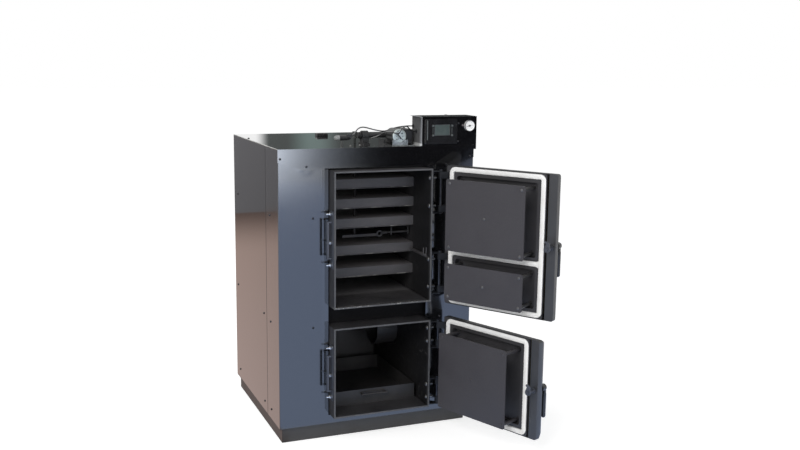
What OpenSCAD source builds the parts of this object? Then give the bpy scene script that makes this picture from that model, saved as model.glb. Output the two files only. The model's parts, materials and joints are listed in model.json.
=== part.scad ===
// Pellet boiler with two front doors, shown standing open, on a sheet steel base.
// The front panel faces -Y, the origin is the middle of the footprint on the floor.
// Heights called a drop are measured down from the top of the casing, and places called
// behind are measured back from the face of the front panel. Negative is in front of it.

/* [Casing] */
// Width of the casing
body_w = 800; // [760:10:900]
// Depth of the casing
body_d = 726; // [700:2:860]
// Height of the casing top above the floor
body_h = 1140; // [1130:10:1400]
// Thickness of the casing sheets
sheet_t = 1.5; // [1:0.1:2.5]
// Height of the base under the casing
base_h = 60; // [50:1:64]
// Thickness of the base plates
base_t = 3; // [2:0.5:5]
// Inset of the base walls under the casing
base_inset = 12; // [4:1:30]
// Depth of the front panel's side returns
return_d = 181; // [120:1:240]
// Height of the top cover's front apron in the middle
apron_h = 79.5; // [70:0.5:81]
// Height of the apron at the casing's corners
apron_end_h = 48.5; // [30:0.5:60]
// Width of the apron's level lower edge
apron_flat_w = 608; // [500:2:640]
// Head diameter of the casing screws
screw_head_d = 9; // [6:0.5:12]

/* [Necks] */
// Outer width of the two door necks
neck_w = 400; // [360:2:430]
// Plate thickness of the necks and the combustion chamber
neck_t = 6; // [4:0.5:10]
// How far the necks stand in front of the panel
neck_out = 60; // [56:1:80]
// Drop of the upper neck's outer top
upper_neck_drop = 82; // [82:1:100]
// Outer height of the upper neck
upper_neck_h = 526; // [510:2:560]
// Height between the two necks
neck_gap = 76; // [70:1:110]
// Height of the lower neck's outer bottom above the base
lower_neck_rise = 38; // [30:1:60]
// Gap between the necks and the panel's cutout
cutout_gap = 4; // [2:0.5:8]

/* [Boiler body] */
// Width of the water jacket
jacket_w = 640; // [600:10:700]
// Distance from the front panel back to the jacket's front plate
jacket_front = 30; // [20:1:40]
// Gap between the back of the water jacket and the back of the casing
jacket_back_gap = 96; // [60:2:120]
// Plate thickness of the water jacket
jacket_t = 4; // [3:0.5:6]
// Drop of the jacket's top
jacket_drop = 46; // [40:1:60]
// Inner depth of the combustion and exchanger chambers behind the front plate
chamber_d = 510; // [480:5:540]
// Thickness of the mineral wool round the jacket
wool_t = 30; // [15:1:40]
// Length of the gas passage between the two chambers, front to back
passage_d = 110; // [80:5:140]

/* [Exchanger] */
// Height of one water shelf
shelf_h = 38; // [30:1:40]
// Wall of a water shelf
shelf_t = 5; // [3:0.5:8]
// Place of the shelves' front edge behind the panel
shelf_front = 120; // [110:1:130]
// Depth of the water shelves
shelf_d = 320; // [280:5:340]
// Drop of the first shelf's top
shelf_first_drop = 135; // [126:1:136]
// Spacing of the three upper shelves
shelf_pitch = 78.5; // [72:0.5:79]
// Open height that the cleaning rake moves in
rake_space = 70; // [68:1:78]
// Open height between the two lowest shelves
last_space = 52; // [40:1:60]
// Drop of the side rails for the baffle
rail_drop = 425; // [423:1:430]
// Width of the side rails
rail_w = 12; // [8:1:16]

/* [Doors] */
// How far the hinge axis stands beside the neck
hinge_side = 37.7; // [34:0.1:44]
// How far the hinge axis stands in front of the panel
hinge_out = 49.4; // [46:0.1:52]
// Angle at which the upper door stands open
upper_open = 122.7; // [95:0.1:130]
// Angle at which the lower door stands open
lower_open = 112; // [95:0.5:130]
// Width of the sealing rope
rope_w = 20; // [14:0.5:22]
// Depth of the sealing rope
rope_d = 14; // [10:0.5:16]
// How far the rope stands proud of the door's inner plate
rope_proud = 5; // [2:0.5:8]
// Drop of the rope's cross bar on the upper door
rope_bar_drop = 411; // [400:1:420]
// Thickness of the door sheets
door_t = 2; // [1.5:0.5:3]
// Width of the cover's flat rim on the latch side
rim_w = 35; // [30:1:44]
// Open groove between the rim and the inner plate
groove_w = 9; // [4:1:12]
// Straight side of the door cover
door_side = 21; // [16:1:30]
// Height of the cover's bevel
bevel_out = 20; // [12:1:30]
// Width of the cover's bevel
bevel_in = 9; // [4:1:12]
// Corner radius of the door cover
door_r = 8; // [4:1:14]
// Depth of the pressed recess inside the rope
recess_d = 23; // [18:1:26]
// Width of the flat between rope and recess
recess_gap = 13; // [9:1:18]
// Thickness of the flame deflector plates
deflector_t = 5; // [3:0.5:8]
// How far the deflectors reach past the rope's face
deflector_reach = 70; // [50:1:80]
// Gap between a deflector's edge and the neck's inner wall
deflector_gap = 25.5; // [22:0.5:30]
// Diameter of the deflectors' stand-offs
standoff_d = 13; // [10:0.5:18]

/* [Hinges and latches] */
// Diameter of the hinge pins
pin_d = 10; // [8:0.5:12]
// Radial running clearance on the hinge pins and latch spindles
run_gap = 0.08; // [0.05:0.01:0.1]
// Thickness of the hinge brackets and catches
bracket_t = 4; // [3:0.5:6]
// Drop of the upper door's first hinge arm
upper_hinge_drop = 92; // [92:1:110]
// Height of one upper door hinge
upper_hinge_h = 166; // [140:2:180]
// Height between the two upper door hinges
upper_hinge_space = 155; // [140:1:170]
// Height of one lower door hinge
lower_hinge_h = 110; // [90:2:120]
// Distance from a hinge arm to its bolt
hinge_bolt_inset = 28; // [22:1:34]
// Length of a door knuckle
knuckle_h = 26; // [18:1:34]
// Diameter of the latch spindle
spindle_d = 12; // [10:0.5:14]
// Place of the latch spindle in from the door's free edge
spindle_in = 17; // [16:0.5:18]
// Reach of the latch hook from its spindle
hook_r = 29; // [24:0.5:30]
// Height of the catch brackets
catch_h = 144; // [110:2:160]
// Length of the handle grip
grip_l = 86; // [70:1:110]
// Diameter of the handle grip
grip_d = 17; // [14:0.5:20]

/* [Control box] */
// Place of the control box's left end from the casing's middle
control_left = 174; // [160:1:190]
// How far the control box overhangs the casing's right side
control_over = 12; // [4:1:20]
// Height of the control box
control_h = 113; // [110:1:140]
// Depth of the control box
control_d = 98; // [80:1:120]
// How far the box's skirt hangs below the casing top
control_skirt = 17; // [8:1:30]
// Width of the display panel
panel_w = 134; // [128:1:136]
// Height of the display panel
panel_h = 96; // [90:1:100]
// Width of the display window
window_w = 62; // [50:1:64]
// Height of the display window
window_h = 38; // [30:1:42]
// Diameter of a button
button_d = 9; // [6:0.5:10]
// Travel of a button
button_travel = 1.5; // [1:0.1:2]
// Diameter of the thermometer
gauge_d = 43; // [36:0.5:46]

/* [Cleaning drive] */
// Diameter of the cleaning shaft
shaft_d = 20; // [14:0.5:22]
// Height of the shaft above the casing top
shaft_z = 34; // [30:1:36]
// Place of the shaft behind the panel
shaft_y = 139; // [136:1:142]
// Throw of the crank
crank_r = 36; // [34:0.5:40]
// Diameter of the push rod
rod_d = 10; // [8:0.5:12]
// Diameter of the motor
motor_d = 56; // [48:1:58]
// Length of the motor
motor_l = 80; // [60:1:84]

/* [Burner and ash pan] */
// Outer width and height of the burner tube
burner_w = 150; // [120:2:160]
// Drop of the burner's middle below the lower neck's top
burner_drop = 126; // [122:1:136]
// Length of the burner inside the chamber
burner_in = 90; // [60:5:120]
// Length of the burner's housing outside the casing
burner_out = 115; // [100:5:160]
// Outer diameter of the pellet inlet
inlet_d = 60; // [50:1:70]
// Height of the ash pan
pan_h = 60; // [45:1:70]
// Depth of the ash pan, front to back
pan_d = 420; // [360:5:440]
// Place of the ash pan's front behind the panel
pan_front = 48; // [44:1:60]

/* [Flue and pipes] */
// Outer diameter of the flue collar
flue_d = 159; // [130:1:180]
// Wall of the flue collar
flue_t = 3; // [2:0.5:5]
// How far the flue collar stands behind the casing
flue_out = 70; // [50:1:100]
// Drop of the flue's middle
flue_drop = 190; // [185:1:220]
// Bore of the flow and return sockets
socket_bore = 38; // [30:1:44]
// How far the sockets stand behind the casing
socket_out = 30; // [20:1:50]

/* [Hidden] */
$fn = 48;

seat = 0.3;              // small gap between neighbouring pieces that only rest together
cut = 1;                 // how far a cutting shape runs past the wall that it cuts
half_w = body_w / 2;
front = -body_d / 2;
back = body_d / 2;
black = [0.09, 0.09, 0.1];
dark = [0.2, 0.195, 0.19];
zinc = [0.78, 0.79, 0.8];

// Screws on each side of the casing: how far behind the front panel, and how far below the top
side_screws = [
    [return_d - 59, 262], [body_d - 66, 252],
    [return_d - 59, body_h - 458], [return_d + 45, body_h - 466], [body_d - 47, body_h - 483],
    [return_d - 59, body_h - 100], [return_d + 45, body_h - 100], [body_d - 66, body_h - 100]];

// The place of a point behind the front panel, and the height of a point below the top
function fy(behind) = front + behind;
function tz(drop) = body_h - drop;

// Necks and chambers
neck_in = neck_w / 2 - neck_t;
upper_top = tz(upper_neck_drop);
upper_bottom = upper_top - upper_neck_h;
lower_top = upper_bottom - neck_gap;
lower_bottom = base_h + lower_neck_rise;
neck_front = fy(-neck_out);
jacket_y0 = fy(jacket_front);
jacket_y1 = back - jacket_back_gap;
jacket_z0 = base_h + base_t;
jacket_z1 = tz(jacket_drop);
chamber_back = jacket_y0 + neck_t + chamber_d;
passage_y1 = chamber_back - 20;
passage_y0 = passage_y1 - passage_d;

// Shelves: the drop of each shelf's top
rake_shelf_drop = shelf_first_drop + 2 * shelf_pitch + shelf_h + rake_space;
shelf_drops = [
    shelf_first_drop,
    shelf_first_drop + shelf_pitch,
    shelf_first_drop + 2 * shelf_pitch,
    rake_shelf_drop,
    rake_shelf_drop + shelf_h + last_space];
shelf_y0 = fy(shelf_front);
shelf_y1 = shelf_y0 + shelf_d;

// Doors, as they stand closed
hinge_x = neck_w / 2 + hinge_side;
hinge_y = fy(-hinge_out);
rope_x = neck_w / 2 - neck_t / 2;
rope_face = neck_front - seat;
pan_face = rope_face - rope_proud;
groove_floor = rope_face - rope_d - 0.2;
recess_floor = pan_face - recess_d;
rim_face = pan_face - door_t;
side_end = rim_face - door_side;
skin = side_end - bevel_out;
door_margin = rope_w / 2 + 2;
door_x0 = -rope_x - rope_w / 2 - 2 - groove_w - rim_w;
door_x1 = rope_x + rope_w / 2 + 12 + door_t;
upper_rope = [upper_bottom + neck_t / 2, tz(rope_bar_drop), upper_top - neck_t / 2];
lower_rope = [lower_bottom + neck_t / 2, lower_top - neck_t / 2];
rope_r = 14;
deflector_face = rope_face + deflector_reach;
deflector_x = neck_in - deflector_gap;
deflector_dx = 6.5;
deflector_dz = -4;
deflector_edge = 25;

// Latches
spindle_x = door_x0 + spindle_in;
upper_latch_z = tz(342);
lower_latch_z = (lower_rope[0] + lower_rope[1]) / 2;
hook_t = 6;
spindle_out = 22;
catch_bar_w = 8;
catch_bar_x = spindle_x + 12;
catch_bar_y0 = fy(-46);
catch_bar_y1 = fy(-36);
hook_y0 = catch_bar_y1 + seat;

// Hinge arms: the height of each hinge's upper arm, and its length
upper_hinges = [tz(upper_hinge_drop), tz(upper_hinge_drop) - upper_hinge_h - upper_hinge_space];
lower_hinges = [lower_top - 7, lower_bottom + 7 + lower_hinge_h];

// Control box
control_x0 = control_left + 4;
control_x1 = half_w + control_over;
control_y0 = fy(2);
panel_x0 = control_left + 16;
panel_z0 = body_h + 7;
panel_back = control_y0 - seat;
panel_front = fy(-5);
window_x0 = panel_x0 + 39;
window_z0 = panel_z0 + 35;
button_x = [panel_x0 + 30.5, panel_x0 + 111.5];
button_z = [panel_z0 + 71, panel_z0 + 34];
button_y0 = fy(-7.5);
gauge_x = half_w - 21;
gauge_z = body_h + 76;

// Cleaning drive
crank_x = -38;
crank_pin_d = 8;
rod_y = shaft_y + crank_r;
shaft_h = body_h + shaft_z;
gearbox_x0 = 88;
motor_x = 92;
motor_z = body_h + 38;
rake_z = tz(rake_shelf_drop) + 39.5;

// Burner
burner_z = lower_top - burner_drop;
burner_x0 = neck_in - burner_in;
burner_y = fy(jacket_front + 320);
burner_port_d = burner_w + 8;
burner_sleeve_d = burner_port_d + 16;

// Leads, as points in millimetres: across, behind the front panel, above the casing top
lead_d = 5;
lead_end = control_left + 1;
grommet_d = 11;
grommet_places = [[88, 72], [54, 54]];
sensor_route = [
    [-64, 139, 35], [-59, 139, 35], [-50, 138, 45], [-42, 136, 57], [-32, 132, 65],
    [-18, 128, 67], [-2, 124, 64], [16, 121, 59], [34, 119, 55], [52, 117, 52],
    [68, 116, 52], [84, 114, 56], [100, 110, 62], [118, 104, 67], [136, 98, 70],
    [lead_end - 22, 92, 72], [lead_end - 10, 88, 72], [lead_end, 88, 72]];
switch_route = [
    [2.6, 125.5, 23], [9, 125.5, 23], [20, 120, 27], [34, 112, 33], [46, 104, 40],
    [54, 90, 47], [57, 70, 51], [58, 48, 53], [61, 28, 54], [68, 15, 52],
    [78, 10, 46], [88, 10, 37], [94, 13, 30], [95, 16, 29], [95, 20.6, 29]];
motor_route = [
    [84, 20.6, 47], [84, 15, 47], [86, 9, 53], [92, 8, 63], [102, 12, 71],
    [116, 22, 75], [130, 34, 72], [142, 44, 64], [lead_end - 21, 51, 57],
    [lead_end - 10, 54, 54], [lead_end, 54, 54]];

// A box given by its lowest and highest corners
module span(lo, hi) {
    translate(lo) cube(hi - lo);
}

// A box as wide to the left as to the right
module centred(half, y0, y1, z0, z1) {
    span([-half, y0, z0], [half, y1, z1]);
}

// A flat shape drawn in X and Z, from one place in Y to another
module slab(y0, y1) {
    translate([0, y1, 0]) rotate([90, 0, 0]) linear_extrude(y1 - y0) children();
}

// A rounded rectangle given by its edges
module rounded(x0, x1, z0, z1, r) {
    translate([x0 + r, z0]) square([x1 - x0 - 2 * r, z1 - z0]);
    translate([x0, z0 + r]) square([x1 - x0, z1 - z0 - 2 * r]);
    for (x = [x0 + r, x1 - r], z = [z0 + r, z1 - r])
        translate([x, z]) circle(r = r);
}

// Round bars along each axis
module bar_y(x, z, y0, y1, d) {
    translate([x, y1, z]) rotate([90, 0, 0]) cylinder(h = y1 - y0, d = d);
}
module bar_x(y, z, x0, x1, d) {
    translate([x0, y, z]) rotate([0, 90, 0]) cylinder(h = x1 - x0, d = d);
}
module bar_z(x, y, z0, z1, d) {
    translate([x, y, z0]) cylinder(h = z1 - z0, d = d);
}

// A domed screw head whose flat side lies at the origin and whose dome faces -Y
module head_front(d) {
    rotate([90, 0, 0]) rotate_extrude() polygon([[0, 0], [d / 2, 0], [d / 2, 1], [d / 3, 2.4], [0, 3]]);
}

// A tube swept along points, with rings square to the run
function unit(v) = v / norm(v);
function turn(p, i) =
    unit(p[min(i + 1, len(p) - 1)] - p[max(i - 1, 0)]);
function across(t) = unit(cross(t, abs(t[2]) < 0.9 ? [0, 0, 1] : [0, 1, 0]));
module tube(points, d, sides) {
    rings = [for (i = [0:len(points) - 1]) let (t = turn(points, i), u = across(t), w = cross(t, u))
        [for (k = [0:sides - 1]) points[i] + d / 2 * (u * cos(360 * k / sides) + w * sin(360 * k / sides))]];
    last = len(points) - 1;
    polyhedron(
        points = [for (ring = rings) each ring],
        faces = [
            [for (k = [0:sides - 1]) k],
            [for (k = [sides - 1:-1:0]) last * sides + k],
            for (i = [0:last - 1], k = [0:sides - 1]) let (n = (k + 1) % sides)
                [i * sides + n, i * sides + k, (i + 1) * sides + k, (i + 1) * sides + n]]);
}
function lead_points(route) = [for (p = route) [p[0], fy(p[1]), body_h + p[2]]];

// Turns a closed door, or what is on it, to the angle at which it stands open
module opened(angle) {
    translate([hinge_x, hinge_y, 0]) rotate([0, 0, angle]) translate([-hinge_x, -hinge_y, 0]) children();
}

// Casing and base

module base_tray() {
    half = half_w - base_inset;
    y0 = front + base_inset;
    y1 = back - base_inset;
    rail_x = jacket_w / 2 - 70;
    rail_half = 30;
    color(black) {
        centred(half, y0, y1, 0, base_t);
        for (y = [y0, y1 - base_t])
            centred(half, y, y + base_t, 0, base_h);
        for (x = [-half, half - base_t])
            span([x, y0, 0], [x + base_t, y1, base_h]);
        difference() {
            centred(half_w - seat, front + seat, back - seat, base_h - base_t, base_h);
            centred(half - 40, y0 + 40, y1 - 40, base_h - base_t - cut, base_h + cut);
        }
        for (side = [-1, 1])
            translate([side * rail_x, 0, 0])
                centred(rail_half, jacket_y0 + 20, jacket_y1 - 20, 0, jacket_z0);
    }
}

// The sheet with the tall cutout for both necks, and its returns round the casing's corners
module front_panel() {
    top = tz(sheet_t + seat);
    opening = neck_w / 2 + cutout_gap;
    color(black) difference() {
        union() {
            centred(half_w, front, front + sheet_t, base_h, top);
            for (x = [-half_w, half_w - sheet_t])
                span([x, front, base_h], [x + sheet_t, fy(return_d), top]);
        }
        centred(opening, front - cut, front + sheet_t + cut,
            lower_bottom - cutout_gap, upper_top + min(cutout_gap, apron_h - 70));
    }
}

module side_panel(side) {
    x = side < 0 ? -half_w : half_w - sheet_t;
    color(black)
        span([x, fy(return_d) + seat, base_h], [x + sheet_t, back, tz(sheet_t + seat)]);
}

module side_panels() {
    port = burner_w / 2 + 3;
    side_panel(-1);
    difference() {
        side_panel(1);
        color(black) span([half_w - sheet_t - cut, burner_y - port, burner_z - port],
            [half_w + cut, burner_y + port, burner_z + port]);
    }
}

module back_panel() {
    color(black) difference() {
        centred(half_w - sheet_t - seat, back - sheet_t, back, base_h, tz(sheet_t + seat));
        bar_y(0, tz(flue_drop), back - sheet_t - cut, back + cut, flue_d + 4);
        for (p = socket_places)
            bar_y(p[0], p[1], back - sheet_t - cut, back + cut, p[2] + 2 * socket_wall + 4);
    }
}

module top_cover() {
    color(black) difference() {
        union() {
            span([-half_w, fy(-sheet_t - seat), tz(sheet_t)], [half_w, back, tz(0)]);
            slab(fy(-sheet_t - seat), fy(-seat))
                polygon([
                    [-half_w, tz(0)], [half_w, tz(0)], [half_w, tz(apron_end_h)],
                    [apron_flat_w / 2, tz(apron_h)], [-apron_flat_w / 2, tz(apron_h)],
                    [-half_w, tz(apron_end_h)]]);
        }
        bar_z(crank_x, fy(rod_y), tz(sheet_t) - cut, tz(0) + cut, rod_d + 6);
    }
}

// Screw heads on the apron, front panel, side panels, top cover, control box and its plate
module casing_screws() {
    apron = fy(-sheet_t - seat);
    color(zinc) {
        for (p = [[-391, 36], [-290, 67], [281, 74], [383, 44]])
            translate([p[0] * half_w / 400, apron, tz(p[1])]) head_front(screw_head_d);
        for (side = [-1, 1], drop = [263, 688])
            translate([side * 265, front, tz(drop)]) head_front(screw_head_d);
        for (side = [-1, 1], p = side_screws)
            translate([side * half_w, fy(p[0]), tz(p[1])]) rotate([0, 0, side * 90]) head_front(screw_head_d);
        for (p = [[-89, 79], [-42, 102], [13 - half_w, 503], [half_w - 13, 503]])
            translate([p[0], fy(p[1]), tz(0)]) rotate([-90, 0, 0]) head_front(screw_head_d);
        for (p = [[333, 86], [331, 16]])
            translate([p[0] * half_w / 400, control_y0, body_h + p[1]]) head_front(screw_head_d - 1);
        for (side = [-1, 1], drop = [40, body_h / 2 + 30, body_h - 100])
            translate([side * (half_w - 20), back, tz(drop)]) rotate([0, 0, 180]) head_front(screw_head_d);
    }
}

// Boiler body

// The plate that closes the water vessel in front, with openings for both necks
module front_plate() {
    opening = neck_w / 2 + seat;
    color(dark) difference() {
        centred(jacket_w / 2, jacket_y0, jacket_y0 + neck_t, jacket_z0, jacket_z1);
        centred(opening, jacket_y0 - cut, jacket_y0 + neck_t + cut, upper_bottom - seat, upper_top + seat);
        centred(opening, jacket_y0 - cut, jacket_y0 + neck_t + cut, lower_bottom - seat, lower_top + seat);
    }
}

// The upper neck and exchanger chamber, with a sleeve for the push rod on its top
module upper_chamber() {
    color(dark) difference() {
        union() {
            centred(neck_w / 2, neck_front, chamber_back + neck_t, upper_bottom, upper_top);
            bar_z(crank_x, fy(rod_y), upper_top - cut, jacket_z1 - seat, rod_d + 16);
        }
        centred(neck_in, neck_front - cut, chamber_back, upper_bottom + neck_t, upper_top - neck_t);
        centred(neck_in, passage_y0, passage_y1, upper_bottom - cut, upper_bottom + neck_t + cut);
        bar_z(crank_x, fy(rod_y), upper_top - neck_t - cut, jacket_z1 + cut, rod_d + 6);
        bar_y(0, tz(flue_drop), chamber_back - cut, chamber_back + neck_t + cut, flue_d - 2 * flue_t);
        for (drop = shelf_drops)
            centred(neck_w, shelf_y0 + shelf_t, shelf_y1 - shelf_t,
                tz(drop + shelf_h) + shelf_t, tz(drop) - shelf_t);
        neck_bolt_holes(upper_bottom, upper_top);
    }
}

// The lower neck and combustion chamber, with the gas passage to the upper chamber on its top
module lower_chamber() {
    color(dark) difference() {
        union() {
            centred(neck_w / 2, neck_front, chamber_back + neck_t, lower_bottom, lower_top);
            centred(neck_w / 2, passage_y0 - neck_t, passage_y1 + neck_t, lower_top - cut, upper_bottom - seat);
        }
        centred(neck_in, neck_front - cut, chamber_back, lower_bottom + neck_t, lower_top - neck_t);
        centred(neck_in, passage_y0, passage_y1, lower_top - neck_t - cut, upper_bottom + cut);
        bar_x(burner_y, burner_z, neck_in - cut, neck_w / 2 + cut, burner_port_d);
        neck_bolt_holes(lower_bottom, lower_top);
    }
}

// The bolt holes in a neck's side walls, between two heights
module neck_bolt_holes(z0, z1) {
    for (z = hinge_bolt_z)
        if (z > z0 && z < z1) bar_x(hinge_bolt_y, z, neck_in - cut, neck_w / 2 + cut, bolt_d + 1);
    for (z = catch_bolt_z)
        if (z > z0 && z < z1) bar_x(catch_bolt_y, z, -neck_w / 2 - cut, -neck_in + cut, bolt_d + 1);
}

// The outer water vessel, closed in front by the front plate
module water_jacket() {
    y0 = jacket_y0 + neck_t;
    color([0.25, 0.25, 0.26]) difference() {
        centred(jacket_w / 2, y0, jacket_y1, jacket_z0, jacket_z1);
        centred(jacket_w / 2 - jacket_t, y0 - cut, jacket_y1 - jacket_t,
            jacket_z0 + jacket_t, jacket_z1 - jacket_t);
        bar_z(crank_x, fy(rod_y), jacket_z1 - jacket_t - cut, jacket_z1 + cut, rod_d + 17);
        bar_y(0, tz(flue_drop), jacket_y1 - jacket_t - cut, jacket_y1 + cut, flue_d + 2 * seat);
        bar_x(burner_y, burner_z, jacket_w / 2 - jacket_t - cut, jacket_w / 2 + cut, burner_sleeve_d + 2 * seat);
        for (p = socket_places)
            bar_y(p[0], p[1], jacket_y1 - jacket_t - cut, jacket_y1 + cut, p[2]);
    }
}

// Five hollow shelves, open to the water at both ends, with a sleeve for the push rod
module exchanger_shelves() {
    color([0.3, 0.29, 0.285])
        for (i = [0:len(shelf_drops) - 1]) {
            z1 = tz(shelf_drops[i]);
            z0 = z1 - shelf_h;
            difference() {
                union() {
                    difference() {
                        centred(neck_in, shelf_y0, shelf_y1, z0, z1);
                        centred(neck_in + cut, shelf_y0 + shelf_t, shelf_y1 - shelf_t, z0 + shelf_t, z1 - shelf_t);
                    }
                    if (i < 3) bar_z(crank_x, fy(rod_y), z0, z1, rod_d + 12);
                }
                if (i < 3) bar_z(crank_x, fy(rod_y), z0 - cut, z1 + cut, rod_d + 4);
            }
        }
}

// Angle strips on both chamber walls, each with an upright loop of rod on its front end
module baffle_rails() {
    y1 = fy(shelf_front) - 2;
    loop_r = 6;
    loop_h = 28;
    loop_d = 4;
    z = tz(rail_drop);
    leg = 4;
    color([0.36, 0.35, 0.34])
        for (side = [-1, 1]) {
            x_wall = side * neck_in;
            x_edge = side * (neck_in - rail_w);
            x_leg = side * (neck_in - leg);
            y0 = side > 0 ? fy(-28) : catch_bolt_y + bolt_head_d / 2 + seat;
            span([min(x_wall, x_edge), y0, z - leg], [max(x_wall, x_edge), y1, z]);
            span([min(x_wall, x_leg), y0, z - 3 * leg], [max(x_wall, x_leg), y1, z]);
            translate([side * (neck_in - rail_w / 2 - 3), y0 + loop_d / 2, z + loop_r]) {
                rotate([90, 0, 0]) rotate([0, 0, 180]) rotate_extrude(angle = 180)
                    translate([loop_r, 0]) circle(d = loop_d, $fn = 24);
                for (x = [-loop_r, loop_r])
                    translate([x, 0, 0]) cylinder(h = loop_h - loop_r, d = loop_d, $fn = 24);
            }
        }
}

module flue_collar() {
    color(dark) difference() {
        union() {
            bar_y(0, tz(flue_drop), chamber_back + neck_t, back + flue_out, flue_d);
            bar_y(0, tz(flue_drop), back + seat, back + seat + 3, flue_d + 30);
        }
        bar_y(0, tz(flue_drop), chamber_back, back + flue_out + cut, flue_d - 2 * flue_t);
    }
}

// Water sockets in the back: across, height and bore of each
socket_wall = 5;
drain_bore = 18;
socket_places = [
    [-220, tz(110), socket_bore],
    [-220, base_h + 90, socket_bore],
    [220, tz(110), drain_bore],
    [220, base_h + 90, drain_bore]];
module pipe_sockets() {
    color([0.62, 0.62, 0.6])
        for (p = socket_places)
            difference() {
                bar_y(p[0], p[1], jacket_y1, back + socket_out, p[2] + 2 * socket_wall);
                bar_y(p[0], p[1], jacket_y1 - cut, back + socket_out + cut, p[2]);
            }
}

// Mineral wool round the jacket, with openings for everything that passes through it
module insulation() {
    y0 = jacket_y0 + neck_t + 2;
    gap = seat;
    color([0.75, 0.7, 0.45]) difference() {
        centred(jacket_w / 2 + gap + wool_t, y0, jacket_y1 + gap + wool_t, jacket_z0 + 1, jacket_z1 + gap + wool_t);
        centred(jacket_w / 2 + gap, y0 - cut, jacket_y1 + gap, jacket_z0, jacket_z1 + gap);
        bar_z(crank_x, fy(rod_y), jacket_z1, jacket_z1 + wool_t + cut + gap, rod_d + 17);
        bar_y(0, tz(flue_drop), jacket_y1, jacket_y1 + wool_t + cut + gap, flue_d + 4);
        bar_x(burner_y, burner_z, jacket_w / 2, jacket_w / 2 + wool_t + cut + gap, burner_sleeve_d + 4);
        for (p = socket_places)
            bar_y(p[0], p[1], jacket_y1, jacket_y1 + wool_t + cut + gap, p[2] + 2 * socket_wall + 2);
    }
}

// Hinges, catches and bolts on the necks

bolt_d = 8;
hinge_bolt_y = fy(-40);
catch_bolt_y = fy(-30);
bolt_head_d = 19;
bolt_tip = 12;
nut_d = 15;
nut_t = 6;
function hinge_bolts(top, h) = [top - hinge_bolt_inset, top - h + hinge_bolt_inset];
hinge_bolt_z = concat(
    hinge_bolts(upper_hinges[0], upper_hinge_h), hinge_bolts(upper_hinges[1], upper_hinge_h),
    hinge_bolts(lower_hinges[0], lower_hinge_h), hinge_bolts(lower_hinges[1], lower_hinge_h));
catch_bolt_rise = catch_h / 2 + 26;
function catch_bolts(z_mid) = [z_mid + catch_bolt_rise, z_mid - 12, z_mid - catch_bolt_rise];
catch_bolt_z = concat(catch_bolts(upper_latch_z), catch_bolts(lower_latch_z));

// A plate bolted to the neck, with an arm at its top and bottom that reaches to the pin
module hinge_bracket(top, h) {
    x0 = neck_w / 2;
    x1 = x0 + bracket_t;
    y0 = fy(3 - neck_out);
    y1 = fy(-8);
    eye_r = pin_d / 2 + 5;
    difference() {
        union() {
            span([x0, y0, top - h], [x1, y1, top]);
            for (z = [top - bracket_t, top - h])
                translate([0, 0, z]) linear_extrude(bracket_t) {
                    polygon([[x0, y0], [hinge_x - 2, hinge_y - eye_r + 0.3], [hinge_x + 4, hinge_y + eye_r - 1], [x0, y1]]);
                    translate([hinge_x, hinge_y]) circle(r = eye_r);
                }
        }
        bar_z(hinge_x, hinge_y, top - h - cut, top + cut, pin_d + 2 * run_gap);
        for (z = hinge_bolts(top, h))
            bar_x(hinge_bolt_y, z, x0 - cut, x1 + cut, bolt_d + 1);
    }
}

module hinge_brackets() {
    color([0.14, 0.15, 0.17]) {
        for (top = upper_hinges) hinge_bracket(top, upper_hinge_h);
        for (top = lower_hinges) hinge_bracket(top, lower_hinge_h);
    }
}

module hinge_pin(top, h) {
    bar_z(hinge_x, hinge_y, top - h - 3, top + seat, pin_d);
    bar_z(hinge_x, hinge_y, top + seat, top + seat + 4, pin_d + 6);
}

module hinge_pins() {
    color([0.5, 0.5, 0.51]) {
        for (top = upper_hinges) hinge_pin(top, upper_hinge_h);
        for (top = lower_hinges) hinge_pin(top, lower_hinge_h);
    }
}

// A plate on the neck's left side with two arms that hold an upright bar for the hook
module catch_bracket(z_mid) {
    x1 = -neck_w / 2;
    x0 = x1 - bracket_t;
    plate_half = catch_bolt_rise + 12;
    arm_t = 6;
    difference() {
        union() {
            span([x0, fy(-54), z_mid - plate_half], [x1, fy(-22), z_mid + plate_half]);
            for (z = [z_mid + catch_h / 2 - arm_t, z_mid - catch_h / 2])
                span([catch_bar_x, catch_bar_y0, z], [x1, catch_bar_y1, z + arm_t]);
            span([catch_bar_x, catch_bar_y0, z_mid - catch_h / 2],
                [catch_bar_x + catch_bar_w, catch_bar_y1, z_mid + catch_h / 2]);
        }
        for (z = catch_bolts(z_mid))
            bar_x(catch_bolt_y, z, x0 - cut, x1 + cut, bolt_d + 1);
    }
}

module catch_brackets() {
    color([0.14, 0.15, 0.17]) {
        catch_bracket(upper_latch_z);
        catch_bracket(lower_latch_z);
    }
}

// Domed bolts with their heads inside the neck and hexagon nuts on the brackets
module neck_bolts() {
    color(zinc) {
        for (z = hinge_bolt_z)
            translate([neck_in, hinge_bolt_y, z]) neck_bolt();
        for (z = catch_bolt_z)
            translate([-neck_in, catch_bolt_y, z]) rotate([0, 0, 180]) neck_bolt();
    }
}

module neck_bolt() {
    rotate([0, 90, 0]) {
        cylinder(h = neck_t + bracket_t + nut_t + bolt_tip, d = bolt_d);
        translate([0, 0, neck_t + bracket_t]) cylinder(h = nut_t, d = nut_d, $fn = 6);
        rotate_extrude() polygon([[0, 0], [bolt_head_d / 2, 0], [bolt_head_d / 2, -1], [bolt_head_d / 3, -4], [0, -5]]);
    }
}

// Doors

// The figure of the sealing rope: an outer loop and any cross bars, w wide
module rope_figure(levels, w) {
    difference() {
        rounded(-rope_x - w / 2, rope_x + w / 2, levels[0] - w / 2, levels[len(levels) - 1] + w / 2, rope_r + w / 2);
        cell_figure(levels, w / 2, rope_r - 4);
    }
}

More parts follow.
